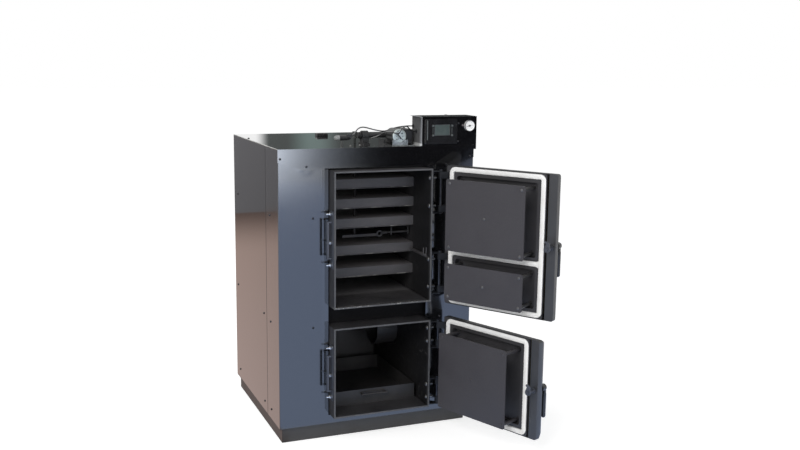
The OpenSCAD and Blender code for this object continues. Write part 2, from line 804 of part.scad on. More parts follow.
// The fields inside the rope, drawn in from its centre line by inset
module cell_figure(levels, inset, r) {
    for (i = [0:len(levels) - 2])
        rounded(-rope_x + inset, rope_x - inset, levels[i] + inset, levels[i + 1] - inset, r);
}

function door_z(levels) = [levels[0] - door_margin - door_t - seat, levels[len(levels) - 1] + door_margin + door_t + seat];

// The inner plate with the rope's channel and the pressed recesses
module door_pan(levels) {
    x0 = -rope_x - rope_w / 2 - 2;
    x1 = door_x1 - door_t - seat;
    z0 = levels[0] - door_margin;
    z1 = levels[len(levels) - 1] + door_margin;
    recess = rope_w / 2 + recess_gap;
    fit = rope_w + 2 * seat;
    color(dark) {
        difference() {
            slab(groove_floor - door_t, pan_face) rounded(x0, x1, z0, z1, door_r);
            slab(groove_floor, pan_face + cut) rope_figure(levels, fit);
            slab(groove_floor - door_t - cut, pan_face + cut) cell_figure(levels, recess, 10);
            slab(groove_floor - door_t - cut, pan_face - door_t)
                difference() {
                    cell_figure(levels, rope_w / 2 + door_t + seat, 10);
                    cell_figure(levels, recess - door_t, 12);
                }
            slab(groove_floor - door_t - cut, pan_face - door_t)
                rounded(rope_x + rope_w / 2 + door_t + seat, x1 - door_t, z0 + door_t, z1 - door_t, 2);
        }
        difference() {
            slab(recess_floor - door_t, pan_face) cell_figure(levels, recess - door_t, 12);
            slab(recess_floor, pan_face + cut) cell_figure(levels, recess, 10);
        }
    }
}

// The body of the door cover, drawn in by inset and with its front face at y_skin
module cover_body(levels, inset, y_skin) {
    z = door_z(levels);
    r = door_r - inset / 2;
    slab(side_end, rim_face + (inset > 0 ? cut : 0))
        rounded(door_x0 + inset, door_x1 - inset, z[0] + inset, z[1] - inset, r);
    hull() {
        slab(side_end, side_end + 0.5)
            rounded(door_x0 + inset, door_x1 - inset, z[0] + inset, z[1] - inset, r);
        slab(y_skin, y_skin + 0.5)
            rounded(door_x0 + bevel_in + inset, door_x1 - bevel_in - inset,
                z[0] + bevel_in + inset, z[1] - bevel_in - inset, r);
    }
}

// The outer tray with its flat rim on the latch side
module door_cover(levels, latch_z) {
    z = door_z(levels);
    color([0.16, 0.16, 0.165]) difference() {
        union() {
            difference() {
                cover_body(levels, 0, skin, $fn = 24);
                cover_body(levels, door_t, skin + door_t, $fn = 24);
            }
            slab(rim_face - door_t, rim_face)
                difference() {
                    rounded(door_x0, door_x1, z[0], z[1], door_r);
                    translate([door_x0 + rim_w, z[0] + door_t])
                        square([door_x1 - door_t - door_x0 - rim_w, z[1] - z[0] - 2 * door_t]);
                }
        }
        bar_y(spindle_x, latch_z, skin - cut, rim_face + cut, spindle_d + 2 * run_gap);
    }
}

module door_insulation(levels) {
    color([0.8, 0.78, 0.7])
        slab(skin + door_t + seat, recess_floor - door_t - seat)
            rounded(-rope_x, rope_x, levels[0], levels[len(levels) - 1], 4);
}

module door_gasket(levels) {
    color([0.93, 0.92, 0.89]) slab(groove_floor + 0.2, rope_face) rope_figure(levels, rope_w);
}

// One flame deflector over each field of the rope
module deflector_plates(levels) {
    color(dark)
        for (i = [0:len(levels) - 2])
            slab(deflector_face - deflector_t, deflector_face)
                difference() {
                    rounded(deflector_dx - deflector_x, deflector_dx + deflector_x,
                        levels[i] + deflector_edge + deflector_dz,
                        levels[i + 1] - deflector_edge + deflector_dz, 8);
                    for (p = deflector_holes(levels, i))
                        translate(p) circle(d = bolt_d + 1);
                }
}
function deflector_holes(levels, i) =
    let (inset = 15, edge = deflector_edge + inset,
        z0 = levels[i] + edge + deflector_dz, z1 = levels[i + 1] - edge + deflector_dz)
    [for (s = [-1, 1], z = [z0, z1]) [deflector_dx + s * (deflector_x - inset), z],
        [deflector_dx, (z0 + z1) / 2]];

// Stand-offs behind the deflectors, each with a bolt through the plate and a round head
module deflector_studs(levels) {
    color([0.42, 0.41, 0.4])
        for (i = [0:len(levels) - 2], p = deflector_holes(levels, i)) {
            bar_y(p[0], p[1], recess_floor, deflector_face - deflector_t, standoff_d);
            bar_y(p[0], p[1], deflector_face - deflector_t - 1, deflector_face + 1, bolt_d);
            translate([p[0], deflector_face, p[1]]) mirror([0, 1, 0]) head_front(standoff_d - 1);
        }
}

// Knuckles round the hinge pins, each with a lug welded to the inner plate
module hinge_lugs(hinges, h) {
    lug_x = rope_x + rope_w / 2 + 3;
    knuckle_d = pin_d + 8;
    color([0.17, 0.17, 0.18])
        for (top = hinges, z = [top - bracket_t - seat - knuckle_h, top - h + bracket_t + seat])
            difference() {
                union() {
                    bar_z(hinge_x, hinge_y, z, z + knuckle_h, knuckle_d);
                    translate([0, 0, z]) linear_extrude(knuckle_h)
                        polygon([[lug_x, pan_face], [door_x1 - door_t - 1, pan_face],
                            [hinge_x + 3, hinge_y - 6], [hinge_x - 6, hinge_y + 6], [lug_x, pan_face + 4]]);
                }
                bar_z(hinge_x, hinge_y, z - cut, z + knuckle_h + cut, pin_d + 2 * run_gap);
            }
}

// The latch spindle with its hook on the inside, pointing up when it is free of the catch
module latch_hook(latch_z) {
    color([0.55, 0.55, 0.56]) {
        bar_y(spindle_x, latch_z, skin - spindle_out, hook_y0 + hook_t + 4, spindle_d);
        slab(hook_y0, hook_y0 + hook_t) {
            translate([spindle_x, latch_z]) circle(d = spindle_d + 12);
            translate([spindle_x, latch_z])
                polygon([[-12, 0], [-9, hook_r - 6], [-2, hook_r], [9, hook_r], [9, hook_r - 6], [4, hook_r - 9], [12, 0]]);
        }
        bar_y(spindle_x, latch_z, rim_face + seat, rim_face + 8, spindle_d + 8);
    }
}

// The lever outside the door, hanging down from the spindle
module latch_handle(latch_z) {
    boss_d = spindle_d + 14;
    y0 = skin - 20;
    y1 = skin - 1;
    grip_top = latch_z - boss_d;
    grip_y = skin - spindle_out;
    color([0.05, 0.05, 0.055]) difference() {
        union() {
            bar_y(spindle_x, latch_z, y0, y1, boss_d);
            span([spindle_x - 7, y0 - 5, grip_top - 12], [spindle_x + 7, y0 + 5, latch_z]);
            bar_z(spindle_x, grip_y, grip_top - grip_l, grip_top, grip_d);
            for (z = [grip_top - grip_l, grip_top])
                translate([spindle_x, grip_y, z]) sphere(d = grip_d);
        }
        bar_y(spindle_x, latch_z, skin - spindle_out - 0.5, y1 + cut, spindle_d + 0.1);
    }
}

module upper_door_pan() opened(upper_open) door_pan(upper_rope);
module upper_door_cover() opened(upper_open) door_cover(upper_rope, upper_latch_z);
module upper_door_insulation() opened(upper_open) door_insulation(upper_rope);
module upper_door_gasket() opened(upper_open) door_gasket(upper_rope);
module upper_deflectors() opened(upper_open) deflector_plates(upper_rope);
module upper_deflector_bolts() opened(upper_open) deflector_studs(upper_rope);
module upper_hinge_lugs() opened(upper_open) hinge_lugs(upper_hinges, upper_hinge_h);
module upper_latch_hook() opened(upper_open) latch_hook(upper_latch_z);
module upper_handle() opened(upper_open) latch_handle(upper_latch_z);
module lower_door_pan() opened(lower_open) door_pan(lower_rope);
module lower_door_cover() opened(lower_open) door_cover(lower_rope, lower_latch_z);
module lower_door_insulation() opened(lower_open) door_insulation(lower_rope);
module lower_door_gasket() opened(lower_open) door_gasket(lower_rope);
module lower_deflector() opened(lower_open) deflector_plates(lower_rope);
module lower_deflector_bolts() opened(lower_open) deflector_studs(lower_rope);
module lower_hinge_lugs() opened(lower_open) hinge_lugs(lower_hinges, lower_hinge_h);
module lower_latch_hook() opened(lower_open) latch_hook(lower_latch_z);
module lower_handle() opened(lower_open) latch_handle(lower_latch_z);

// Control box

// A sheet steel box on the casing's corner, with a skirt that hangs beside the casing
module control_box() {
    z1 = body_h + control_h;
    y1 = control_y0 + control_d;
    t = sheet_t;
    color(black) {
        difference() {
            union() {
                span([control_x0, control_y0, body_h], [control_x1, y1, z1]);
                span([half_w + seat, control_y0, tz(control_skirt)], [control_x1, y1, body_h + t]);
            }
            span([control_x0 - cut, control_y0 + t, body_h + t], [control_x1 - t, y1 - t, z1 - t]);
            span([panel_x0 + 8, control_y0 - cut, panel_z0 + 10],
                [panel_x0 + panel_w - 8, control_y0 + t + cut, panel_z0 + panel_h - 10]);
            bar_y(gauge_x, gauge_z, control_y0 - cut, control_y0 + t + cut, gauge_d - 6);
            bar_y(gauge_x - 28, gauge_z + 2, control_y0 - cut, control_y0 + t + cut, 6.4);
        }
        bar_z(control_x0 + 118, control_y0 + 42, z1, z1 + 5, 11);
    }
}

// The bare sheet on the box's left end, folded out along its edges
module control_side_plate() {
    fold = 8;
    x1 = control_x0 - seat;
    x0 = x1 - sheet_t;
    y1 = control_y0 + control_d;
    z1 = body_h + control_h;
    color([0.66, 0.68, 0.7]) difference() {
        union() {
            span([x0, control_y0, body_h], [x1, y1, z1]);
            span([x0 - fold, control_y0, body_h], [x1, control_y0 + sheet_t, z1]);
            span([x0 - fold, control_y0, z1 - sheet_t], [x1, y1, z1]);
            span([x0 - fold, control_y0, body_h], [x1, y1, body_h + sheet_t]);
        }
        for (p = grommet_places)
            bar_x(fy(p[0]), body_h + p[1], x0 - cut, x1 + cut, grommet_d + 0.2);
    }
}

// Rubber bushes in the side plate, each with a lead's end in it
module cable_grommets() {
    x0 = control_x0 - seat - sheet_t;
    color([0.05, 0.05, 0.05])
        for (p = grommet_places)
            difference() {
                union() {
                    bar_x(fy(p[0]), body_h + p[1], x0 - 3, x0 - 0.1, grommet_d + 3);
                    bar_x(fy(p[0]), body_h + p[1], x0 - 1, x0 + sheet_t, grommet_d);
                }
                bar_x(fy(p[0]), body_h + p[1], x0 - 3 - cut, x0 - 1, lead_d + 0.4);
            }
}

module display_panel() {
    color([0.07, 0.07, 0.075]) difference() {
        slab(panel_front, panel_back) rounded(panel_x0, panel_x0 + panel_w, panel_z0, panel_z0 + panel_h, 4);
        slab(panel_front - cut, panel_back + cut)
            translate([window_x0, window_z0]) square([window_w, window_h]);
        for (x = button_x, z = button_z)
            bar_y(x, z, panel_front - cut, panel_back + cut, button_d + 2 * seat);
    }
}

module display_window() {
    color([0.5, 0.56, 0.55])
        slab(panel_front + 1.2, panel_back)
            translate([window_x0 + seat / 2, window_z0 + seat / 2]) square([window_w - seat, window_h - seat]);
}

// A short button that slides in its hole in the display panel
module button(x, z) {
    color([0.3, 0.31, 0.32]) {
        bar_y(x, z, button_y0, panel_back + 1, button_d);
        bar_y(x, z, panel_back + seat, panel_back + 1, button_d + 3);
    }
}
module button_up() button(button_x[0], button_z[0]);
module button_down() button(button_x[0], button_z[1]);
module button_enter() button(button_x[1], button_z[0]);
module button_back() button(button_x[1], button_z[1]);

// The round thermometer: a flat case behind, a white dial and a thin ring in front
module gauge_case() {
    ring_y = control_y0 - 8;
    color([0.93, 0.93, 0.92]) difference() {
        union() {
            bar_y(gauge_x, gauge_z, ring_y, control_y0 - seat, gauge_d);
            bar_y(gauge_x, gauge_z, control_y0 - seat, control_y0 + 22, gauge_d - 8);
        }
        bar_y(gauge_x, gauge_z, ring_y - cut, ring_y + 5, gauge_d - 3);
    }
    color([0.93, 0.93, 0.92]) bar_y(gauge_x, gauge_z, ring_y + 3.5, ring_y + 6, 3);
}

module gauge_needle() {
    y0 = control_y0 - 8 + 1.4;
    color([0.05, 0.05, 0.05])
        difference() {
            union() {
                bar_y(gauge_x, gauge_z, y0, y0 + 3, 7);
                slab(y0 + 0.5, y0 + 1.5) translate([gauge_x, gauge_z])
                    rotate(195) polygon([[-6, -1.2], [gauge_d / 2 - 6, -0.3], [gauge_d / 2 - 6, 0.3], [-6, 1.2]]);
            }
            bar_y(gauge_x, gauge_z, y0 + 1.6, y0 + 3 + cut, 3 + 0.16);
        }
}

module indicator_lamp() {
    color([0.55, 0.5, 0.5]) {
        bar_y(gauge_x - 28, gauge_z + 2, control_y0 - 3, control_y0 - seat, 8);
        bar_y(gauge_x - 28, gauge_z + 2, control_y0 - seat - cut, control_y0 + 12, 6);
    }
}

// Cleaning drive on the casing top

// A bent plate that carries the motor in front and its gearbox behind
module motor_bracket() {
    x0 = motor_x - 31;
    x1 = motor_x + 33;
    y1 = shaft_y + 31;
    color(zinc) difference() {
        union() {
            span([x0, fy(18), body_h], [x1, fy(21), body_h + 24]);
            span([x0, fy(18), body_h], [x1 + 26, fy(y1), body_h + 3]);
            span([x0, fy(104), body_h], [x0 + 3, fy(y1), body_h + 20]);
        }
        bar_y(motor_x, motor_z, fy(17), fy(22), motor_d - 8);
        for (p = [[x0 + 8, 40], [x1 + 18, shaft_y]])
            bar_z(p[0], fy(p[1]), body_h - cut, body_h + 3 + cut, 6);
    }
}

// The motor, its gearbox and the taller box for its wires on the right
module gear_motor() {
    y1 = 22 + motor_l;
    box_z0 = body_h + 3;
    box_y1 = shaft_y + 29;
    terminal_x0 = motor_x + motor_d / 2 + 4;
    color([0.8, 0.81, 0.82]) {
        bar_y(motor_x, motor_z, fy(22), fy(y1), motor_d);
        bar_y(motor_x, motor_z, fy(21), fy(22) + cut, motor_d - 9);
        difference() {
            union() {
                span([gearbox_x0, fy(y1), box_z0], [gearbox_x0 + 62, fy(box_y1), shaft_h + 16]);
                span([terminal_x0, fy(y1 - 40), box_z0], [terminal_x0 + 40, fy(box_y1), shaft_h + 27]);
            }
            bar_x(fy(shaft_y), shaft_h, gearbox_x0 - cut, gearbox_x0 + 63, shaft_d + 2 * run_gap);
        }
        difference() {
            bar_x(fy(shaft_y), shaft_h, gearbox_x0 - 5, gearbox_x0 + 1, shaft_d + 10);
            bar_x(fy(shaft_y), shaft_h, gearbox_x0 - 6, gearbox_x0 + 2, shaft_d + 2 * run_gap);
        }
    }
}

// The pillow block at the shaft's left end
module shaft_bearing() {
    x0 = -24;
    x1 = 2;
    color([0.1, 0.1, 0.105]) difference() {
        union() {
            bar_x(fy(shaft_y), shaft_h, x0, x1, shaft_d + 18);
            span([x0, fy(shaft_y - 17), body_h], [x1, fy(shaft_y + 17), shaft_h]);
            span([x0, fy(shaft_y - 32), body_h], [x1, fy(shaft_y + 32), body_h + 6]);
        }
        bar_x(fy(shaft_y), shaft_h, x0 - cut, x1 + cut, shaft_d + 2 * run_gap);
        for (side = [-1, 1])
            bar_z((x0 + x1) / 2, fy(shaft_y + side * 26), body_h - cut, body_h + 6 + cut, 6);
    }
}

// The shaft with its crank arm and crank pin
module cleaning_shaft() {
    color([0.13, 0.13, 0.14]) {
        bar_x(fy(shaft_y), shaft_h, crank_x - 2, gearbox_x0 + 58, shaft_d);
        translate([crank_x + 6, 0, 0]) rotate([0, 90, 0]) rotate([0, 0, 90]) linear_extrude(5) {
            translate([fy(shaft_y), shaft_h]) circle(d = shaft_d + 8);
            translate([fy(rod_y), shaft_h]) circle(d = 16);
            polygon([[fy(shaft_y), shaft_h - 12], [fy(rod_y), shaft_h - 8],
                [fy(rod_y), shaft_h + 8], [fy(shaft_y), shaft_h + 12]]);
        }
        bar_x(fy(rod_y), shaft_h, crank_x - 7, crank_x + 8, crank_pin_d);
    }
}

// The push rod with a slotted head over the crank pin, and the rake that it carries
module cleaning_rake() {
    head_half = 5;
    head_h = 13;
    slot_half = crank_pin_d / 2 + seat;
    rake_y = fy(150);
    ring_x = 60;
    y_rod = fy(rod_y);
    color([0.33, 0.32, 0.31]) {
        difference() {
            union() {
                span([crank_x - head_half, y_rod - 16, shaft_h - head_h],
                    [crank_x + head_half, y_rod + 14, shaft_h + head_h]);
                bar_z(crank_x, y_rod, rake_z - 12, shaft_h - head_h + cut, rod_d);
            }
            span([crank_x - head_half - cut, y_rod - 11, shaft_h - slot_half],
                [crank_x + head_half + cut, y_rod + 8, shaft_h + slot_half]);
        }
        span([crank_x - 6, rake_y + 1, rake_z - 12], [crank_x + 6, y_rod, rake_z - 4]);
        span([-97, rake_y - 2, rake_z - 12], [ring_x - 9, rake_y + 2, rake_z - 2]);
        translate([ring_x, rake_y, rake_z - 3]) rotate([90, 0, 0]) translate([0, 0, -3]) difference() {
            cylinder(h = 6, d = 26);
            translate([0, 0, -cut]) cylinder(h = 6 + 2 * cut, d = 14);
        }
        bar_x(rake_y, rake_z, ring_x + 9, ring_x + 30, 13);
        bar_x(rake_y, rake_z, ring_x + 28, neck_in - 4, 8);
        for (x = [112, neck_in - 9])
            bar_z(x, rake_y, rake_z - 11, rake_z + 23, 7);
    }
}

// A moulded sensor on a small foot beside the crank
module position_sensor() {
    z = body_h + 26;
    y = fy(139);
    color([0.06, 0.06, 0.065]) {
        bar_x(y, z, -126, -84, 20);
        translate([-126, y, z]) sphere(d = 20);
        translate([-84, y, z]) rotate([0, 90, 0]) cylinder(h = 12, d1 = 20, d2 = 16);
        span([-107, y - 6, body_h], [-100, y + 6, z]);
        span([-84, y - 7, z - 4], [-66, y + 7, z + 14]);
        bar_x(y, body_h + 35, -68, -64 - seat, 9);
    }
}

// The sensor's lead, the motor's lead, and the lead of the switch in the bearing block
module drive_leads() {
    color([0.06, 0.06, 0.06])
        for (route = [sensor_route, motor_route, switch_route])
            tube(lead_points(route), lead_d, 8);
}

// A low cover over the water sensor's pocket in the casing top
module sensor_cover() {
    x = -57;
    y = back - 176;
    color([0.12, 0.13, 0.12]) hull() {
        span([x - 24, y - 17, tz(0)], [x + 24, y + 17, body_h + 9]);
        span([x - 22, y - 15, tz(0)], [x + 22, y + 15, body_h + 13]);
    }
}

// Burner and ash pan

// The steel burner tube through the jacket's right side, with its flange on the casing
module burner_body() {
    half = burner_w / 2;
    t = 4;
    color([0.4, 0.38, 0.36]) difference() {
        union() {
            bar_x(burner_y, burner_z, burner_x0, half_w + 8, burner_w);
            bar_x(burner_y, burner_z, neck_w / 2 + seat, jacket_w / 2 + wool_t, burner_sleeve_d);
            span([half_w + seat, burner_y - half - 20, burner_z - half - 20],
                [half_w + 8, burner_y + half + 20, burner_z + half + 20]);
        }
        bar_x(burner_y, burner_z, burner_x0 - cut, half_w + 8 + cut, burner_w - 2 * t);
    }
}

// The housing with the fan and igniter, and the inlet for the pellet hose on its top
module burner_housing() {
    half = burner_w / 2 + 14;
    x0 = half_w + 8;
    x1 = x0 + burner_out;
    mid = x0 + burner_out * 0.42;
    top = burner_z + half;
    color([0.1, 0.1, 0.11]) difference() {
        union() {
            difference() {
                span([x0, burner_y - half, burner_z - half], [x1, burner_y + half, top]);
                span([x0 - cut, burner_y - half + 3, burner_z - half + 3], [x1 - 3, burner_y + half - 3, top - 3]);
            }
            bar_z(mid, burner_y, top - 3, top + 50, inlet_d);
        }
        bar_z(mid, burner_y, top - 3 - cut, top + 50 + cut, inlet_d - 6);
        for (i = [-4:4])
            span([x1 - 3 - cut, burner_y - 45, burner_z - 30 + i * 9 - 2], [x1 + cut, burner_y + 45, burner_z - 30 + i * 9 + 2]);
    }
}

// A sheet tray on the lower chamber's floor, with a handle in front
module ash_pan() {
    half = neck_in - 14;
    y0 = fy(pan_front);
    y1 = y0 + pan_d;
    z0 = lower_bottom + neck_t + seat;
    t = 2;
    color([0.3, 0.29, 0.28]) {
        difference() {
            centred(half, y0, y1, z0, z0 + pan_h);
            centred(half - t, y0 + t, y1 - t, z0 + t, z0 + pan_h + cut);
        }
        for (x = [-50, 50])
            bar_y(x, z0 + pan_h - 16, y0 - 22, y0 + cut, 8);
        bar_x(y0 - 20, z0 + pan_h - 16, -54, 54, 8);
    }
}

base_tray();
front_plate();
upper_chamber();
lower_chamber();
water_jacket();
exchanger_shelves();
baffle_rails();
flue_collar();
pipe_sockets();
burner_body();
burner_housing();
insulation();
front_panel();
side_panels();
back_panel();
top_cover();
casing_screws();
hinge_brackets();
hinge_pins();
catch_brackets();
neck_bolts();
control_box();
control_side_plate();
cable_grommets();
display_panel();
display_window();
gauge_case();
indicator_lamp();
motor_bracket();
gear_motor();
shaft_bearing();
position_sensor();
drive_leads();
sensor_cover();
upper_door_pan();
upper_door_cover();
upper_door_insulation();
upper_door_gasket();
upper_deflectors();
upper_deflector_bolts();
upper_hinge_lugs();
upper_latch_hook();
upper_handle();
lower_door_pan();
lower_door_cover();
lower_door_insulation();
lower_door_gasket();
lower_deflector();
lower_deflector_bolts();
lower_hinge_lugs();
lower_latch_hook();
lower_handle();
button_up();
button_down();
button_enter();
button_back();
gauge_needle();
cleaning_shaft();
cleaning_rake();
ash_pan();
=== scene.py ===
import json
import math
import random

import bmesh
import bpy
from mathutils import Matrix, Vector

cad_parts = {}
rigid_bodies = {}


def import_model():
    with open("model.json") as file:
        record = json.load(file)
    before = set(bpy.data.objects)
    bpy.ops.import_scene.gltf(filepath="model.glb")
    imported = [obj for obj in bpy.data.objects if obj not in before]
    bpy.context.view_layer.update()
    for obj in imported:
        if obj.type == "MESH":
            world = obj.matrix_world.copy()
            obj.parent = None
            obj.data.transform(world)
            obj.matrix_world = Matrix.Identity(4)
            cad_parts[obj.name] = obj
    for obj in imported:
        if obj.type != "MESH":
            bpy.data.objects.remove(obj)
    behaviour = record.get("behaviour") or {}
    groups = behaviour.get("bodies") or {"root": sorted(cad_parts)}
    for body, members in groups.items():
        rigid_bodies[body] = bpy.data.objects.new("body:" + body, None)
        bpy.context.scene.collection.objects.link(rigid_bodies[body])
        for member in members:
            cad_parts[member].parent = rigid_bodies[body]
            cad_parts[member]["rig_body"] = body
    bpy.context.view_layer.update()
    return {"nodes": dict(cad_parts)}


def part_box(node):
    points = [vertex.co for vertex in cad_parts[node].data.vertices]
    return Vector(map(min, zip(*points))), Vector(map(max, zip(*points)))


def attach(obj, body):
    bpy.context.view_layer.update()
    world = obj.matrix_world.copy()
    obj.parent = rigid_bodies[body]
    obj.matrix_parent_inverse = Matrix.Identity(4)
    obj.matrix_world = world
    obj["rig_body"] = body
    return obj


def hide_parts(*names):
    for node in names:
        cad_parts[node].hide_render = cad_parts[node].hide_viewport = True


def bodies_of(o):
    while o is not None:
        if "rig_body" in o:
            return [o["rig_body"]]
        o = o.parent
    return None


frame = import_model()
NODES = frame["nodes"]
SCENE = bpy.context.scene
SCENE.view_settings.view_transform = "Standard"
random.seed(7)

# Sizes from the part's source, in metres
HALF_W = 0.4
FRONT = -0.363
BACK = 0.363
TOP = 1.14
SEAM_Y = FRONT + 0.1811
NECK_IN = 0.194
NECK_OUT = 0.2
NECK_FRONT = FRONT - 0.06
SILL_Z = 0.532
HINGE = Vector((0.2377, -0.4124, 0.0))
UPPER_OPEN = math.radians(122.7)
LOWER_OPEN = math.radians(112.0)
UPPER_ROPE = (0.535, 0.729, 1.055)
LOWER_ROPE = (0.101, 0.453)
ROPE_X = 0.197
ROPE_W = 0.02
ROPE_FACE = FRONT - 0.0603
ROPE_FLOOR = FRONT - 0.0743
SHELF_TOPS = (1.005, 0.9265, 0.848, 0.74, 0.65)
SHELF_H = 0.038
SHELF_Y = -0.243
RAKE_TOP = 0.79
PLATE_TOP = 1.253
PANEL_FRONT = FRONT - 0.005
WINDOW_X = (0.229, 0.291)
WINDOW_Z = (1.182, 1.22)
BUTTON_X = (0.2205, 0.3015)
BUTTON_Z = (1.181, 1.218)
DIAL_X = 0.379
DIAL_Z = 1.216
DIAL_FACE = FRONT - 0.001

# Edges turn by more than SHARP, flat faces by less than FLAT; SPLIT joins a copied mesh's corners
SHARP = math.radians(30)
FLAT = math.radians(0.6)
SPLIT = 2e-5

# How light the surroundings are: for matt surfaces, and what the floor adds where it is seen
WORLD_LIGHT = 0.55
FLOOR_GLOW = 0.56

# Camera
CAMERA_AT = Vector((-1.3289, -3.8329, 1.4795))
CAMERA_YAW = 0.3879
CAMERA_PITCH = -0.1706
CAMERA_ROLL = 0.0126
LENS = 43.874


def placed(name, data, place=(0, 0, 0)):
    """A new object of the scene."""
    obj = bpy.data.objects.new(name, data)
    obj.location = place
    SCENE.collection.objects.link(obj)
    return obj


def make_camera():
    """Stands where the photographer's did, solved from the casing, necks and door."""
    data = bpy.data.cameras.new("camera")
    data.lens = LENS
    camera = placed("camera", data)
    heading = Matrix.Rotation(-CAMERA_YAW, 4, "Z") @ Matrix.Rotation(math.pi / 2 + CAMERA_PITCH, 4, "X")
    turn = heading @ Matrix.Rotation(CAMERA_ROLL, 4, "Z")
    camera.matrix_world = Matrix.Translation(CAMERA_AT) @ turn
    SCENE.camera = camera


# Shader helpers
MIX_FACTOR, MIX_A, MIX_B, MIX_COLOUR_OUT = 0, 6, 7, 2
NOISE_LOW = 0.3
NOISE_HIGH = 0.7


class Nodes:
    """A node tree being built, and a few short node makers."""

    def __init__(self, tree):
        self.tree = tree
        tree.nodes.clear()

    def add(self, kind, sockets, **settings):
        """Adds a node, feeds the sockets that aren't None, and returns the outputs."""
        node = self.tree.nodes.new("ShaderNode" + kind)
        for key, value in settings.items():
            setattr(node, key, value)
        for key, value in sockets.items():
            if isinstance(value, bpy.types.NodeSocket):
                self.tree.links.new(value, node.inputs[key])
            elif value is not None:
                is_colour = node.inputs[key].type == "RGBA"
                node.inputs[key].default_value = (*value, 1.0) if is_colour else value
        return node.outputs

    def maths(self, kind, a, b):
        return self.add("Math", {0: a, 1: b}, operation=kind)[0]

    def times(self, first, *others):
        for other in others:
            first = self.maths("MULTIPLY", first, other)
        return first

    def ranged(self, value, low, high, to_low=0.0, to_high=1.0, smooth=False):
        """Maps low to to_low and high to to_high, and holds both ends."""
        sockets = {"Value": value, "From Min": low, "From Max": high, "To Min": to_low, "To Max": to_high}
        kind = "SMOOTHSTEP" if smooth else "LINEAR"
        return self.add("MapRange", sockets, interpolation_type=kind)[0]

    def seen(self):
        """1 for rays from the camera, gloss and glass, and 0 for light on matt surfaces."""
        path = self.add("LightPath", {})
        seen = self.maths("MAXIMUM", path["Is Camera Ray"], path["Is Glossy Ray"])
        return self.maths("MAXIMUM", seen, path["Is Transmission Ray"])


class Shader(Nodes):
    """A material being built in the object's own coordinates."""

    def __init__(self, name):
        self.material = bpy.data.materials.new(name)
        self.material.use_nodes = True
        super().__init__(self.material.node_tree)
        self.place = self.add("TexCoord", {})["Object"]

    def axes(self, vector=None):
        return self.add("SeparateXYZ", {0: vector or self.place})

    def stretched(self, scale):
        """The place with its axes scaled, so that a noise runs longer or shorter along them."""
        return self.add("Mapping", {"Vector": self.place, "Scale": scale})[0]

    def noise(self, scale, detail, rough=0.55, distortion=0.0, place=None):
        sockets = {"Vector": place or self.place, "Scale": scale, "Detail": detail, "Roughness": rough,
                   "Distortion": distortion}
        return self.add("TexNoise", sockets)[0]

    def cells(self, scale):
        return self.add("TexVoronoi", {"Vector": self.place, "Scale": scale})

    def blend(self, factor, a, b):
        sockets = {MIX_FACTOR: factor, MIX_A: a, MIX_B: b}
        return self.add("Mix", sockets, data_type="RGBA")[MIX_COLOUR_OUT]

    def spread(self, noise, to_low=0.0, to_high=1.0):
        """A noise's usual range, stretched between two values."""
        return self.ranged(noise, NOISE_LOW, NOISE_HIGH, to_low, to_high)

    def mottled(self, noise, low, high):
        """Two colours mixed by a noise."""
        return self.blend(self.spread(noise), low, high)

    def marked(self, base, noise, low, high, most, colour):
        """The base with up to a share of a colour, where a noise rises from low to high."""
        return self.blend(self.ranged(noise, low, high, 0.0, most), base, colour)

    def bump(self, height, strength, distance, under=None):
        sockets = {"Height": height, "Strength": strength, "Distance": distance, "Normal": under}
        return self.add("Bump", sockets)[0]

    def shown(self, surface):
        self.add("OutputMaterial", {0: surface})
        return self.material

    def finish(self, colour, roughness, normal=None, gloss=0.5, **others):
        """Feeds a Principled shader; an underscore in a socket's name stands for a space."""
        sockets = {"Base Color": colour, "Roughness": roughness, "Normal": normal}
        sockets["Specular IOR Level"] = gloss
        for key, value in others.items():
            sockets[key.replace("_", " ")] = value
        return self.shown(self.add("BsdfPrincipled", sockets)[0])


# Materials
PUCKER_AT = (-0.292, FRONT, 1.076)
PUCKER_REACH = 0.045


def powder_coat(name, tint, rough, peel_depth, coat, shape=None):
    """Glossy black powder coat: fine orange peel, faint cloudiness, dust and pale specks."""
    s = Shader(name)
    cloud = s.noise(2.2, 4, 0.6)
    dust = s.noise(38, 6, 0.7, 0.6)
    speck = s.noise(900, 2, 0.5)
    lighter = tuple(c * 1.4 + 0.0005 for c in tint)
    base = s.blend(s.ranged(cloud, 0.35, 0.7), tint, lighter)
    base = s.marked(base, dust, 0.64, 0.8, 0.07, (0.1, 0.095, 0.088))
    base = s.marked(base, speck, 0.71, 0.77, 0.3, (0.055, 0.055, 0.058))
    roughness = s.ranged(dust, 0.35, 0.75, rough - 0.02, rough + 0.06)
    normal = s.bump(s.noise(240, 2, 0.5), peel_depth, 0.0004)
    if shape is not None:
        normal = shape(s, normal)
    return s.finish(base, roughness, normal, Coat_Weight=1.0, Coat_Roughness=coat, gloss=0.75)


def apron_shape(s, normal):
    """A pucker beside one screw, and a sheet that rises towards the neck opening."""
    away = s.add("VectorMath", {0: s.place, 1: PUCKER_AT}, operation="DISTANCE")["Value"]
    outside = s.ranged(away, 0.0, PUCKER_REACH, smooth=True)
    creased = s.spread(s.noise(34, 3, 0.6, 0.8), 0.35, 1.0)
    normal = s.bump(s.times(s.maths("SUBTRACT", 1.0, outside), creased), 0.4, 0.0028, normal)
    turned_up = s.ranged(s.axes()[0], -NECK_OUT - 0.03, -NECK_OUT - 0.004)
    return s.bump(turned_up, 1.0, 0.0045, normal)


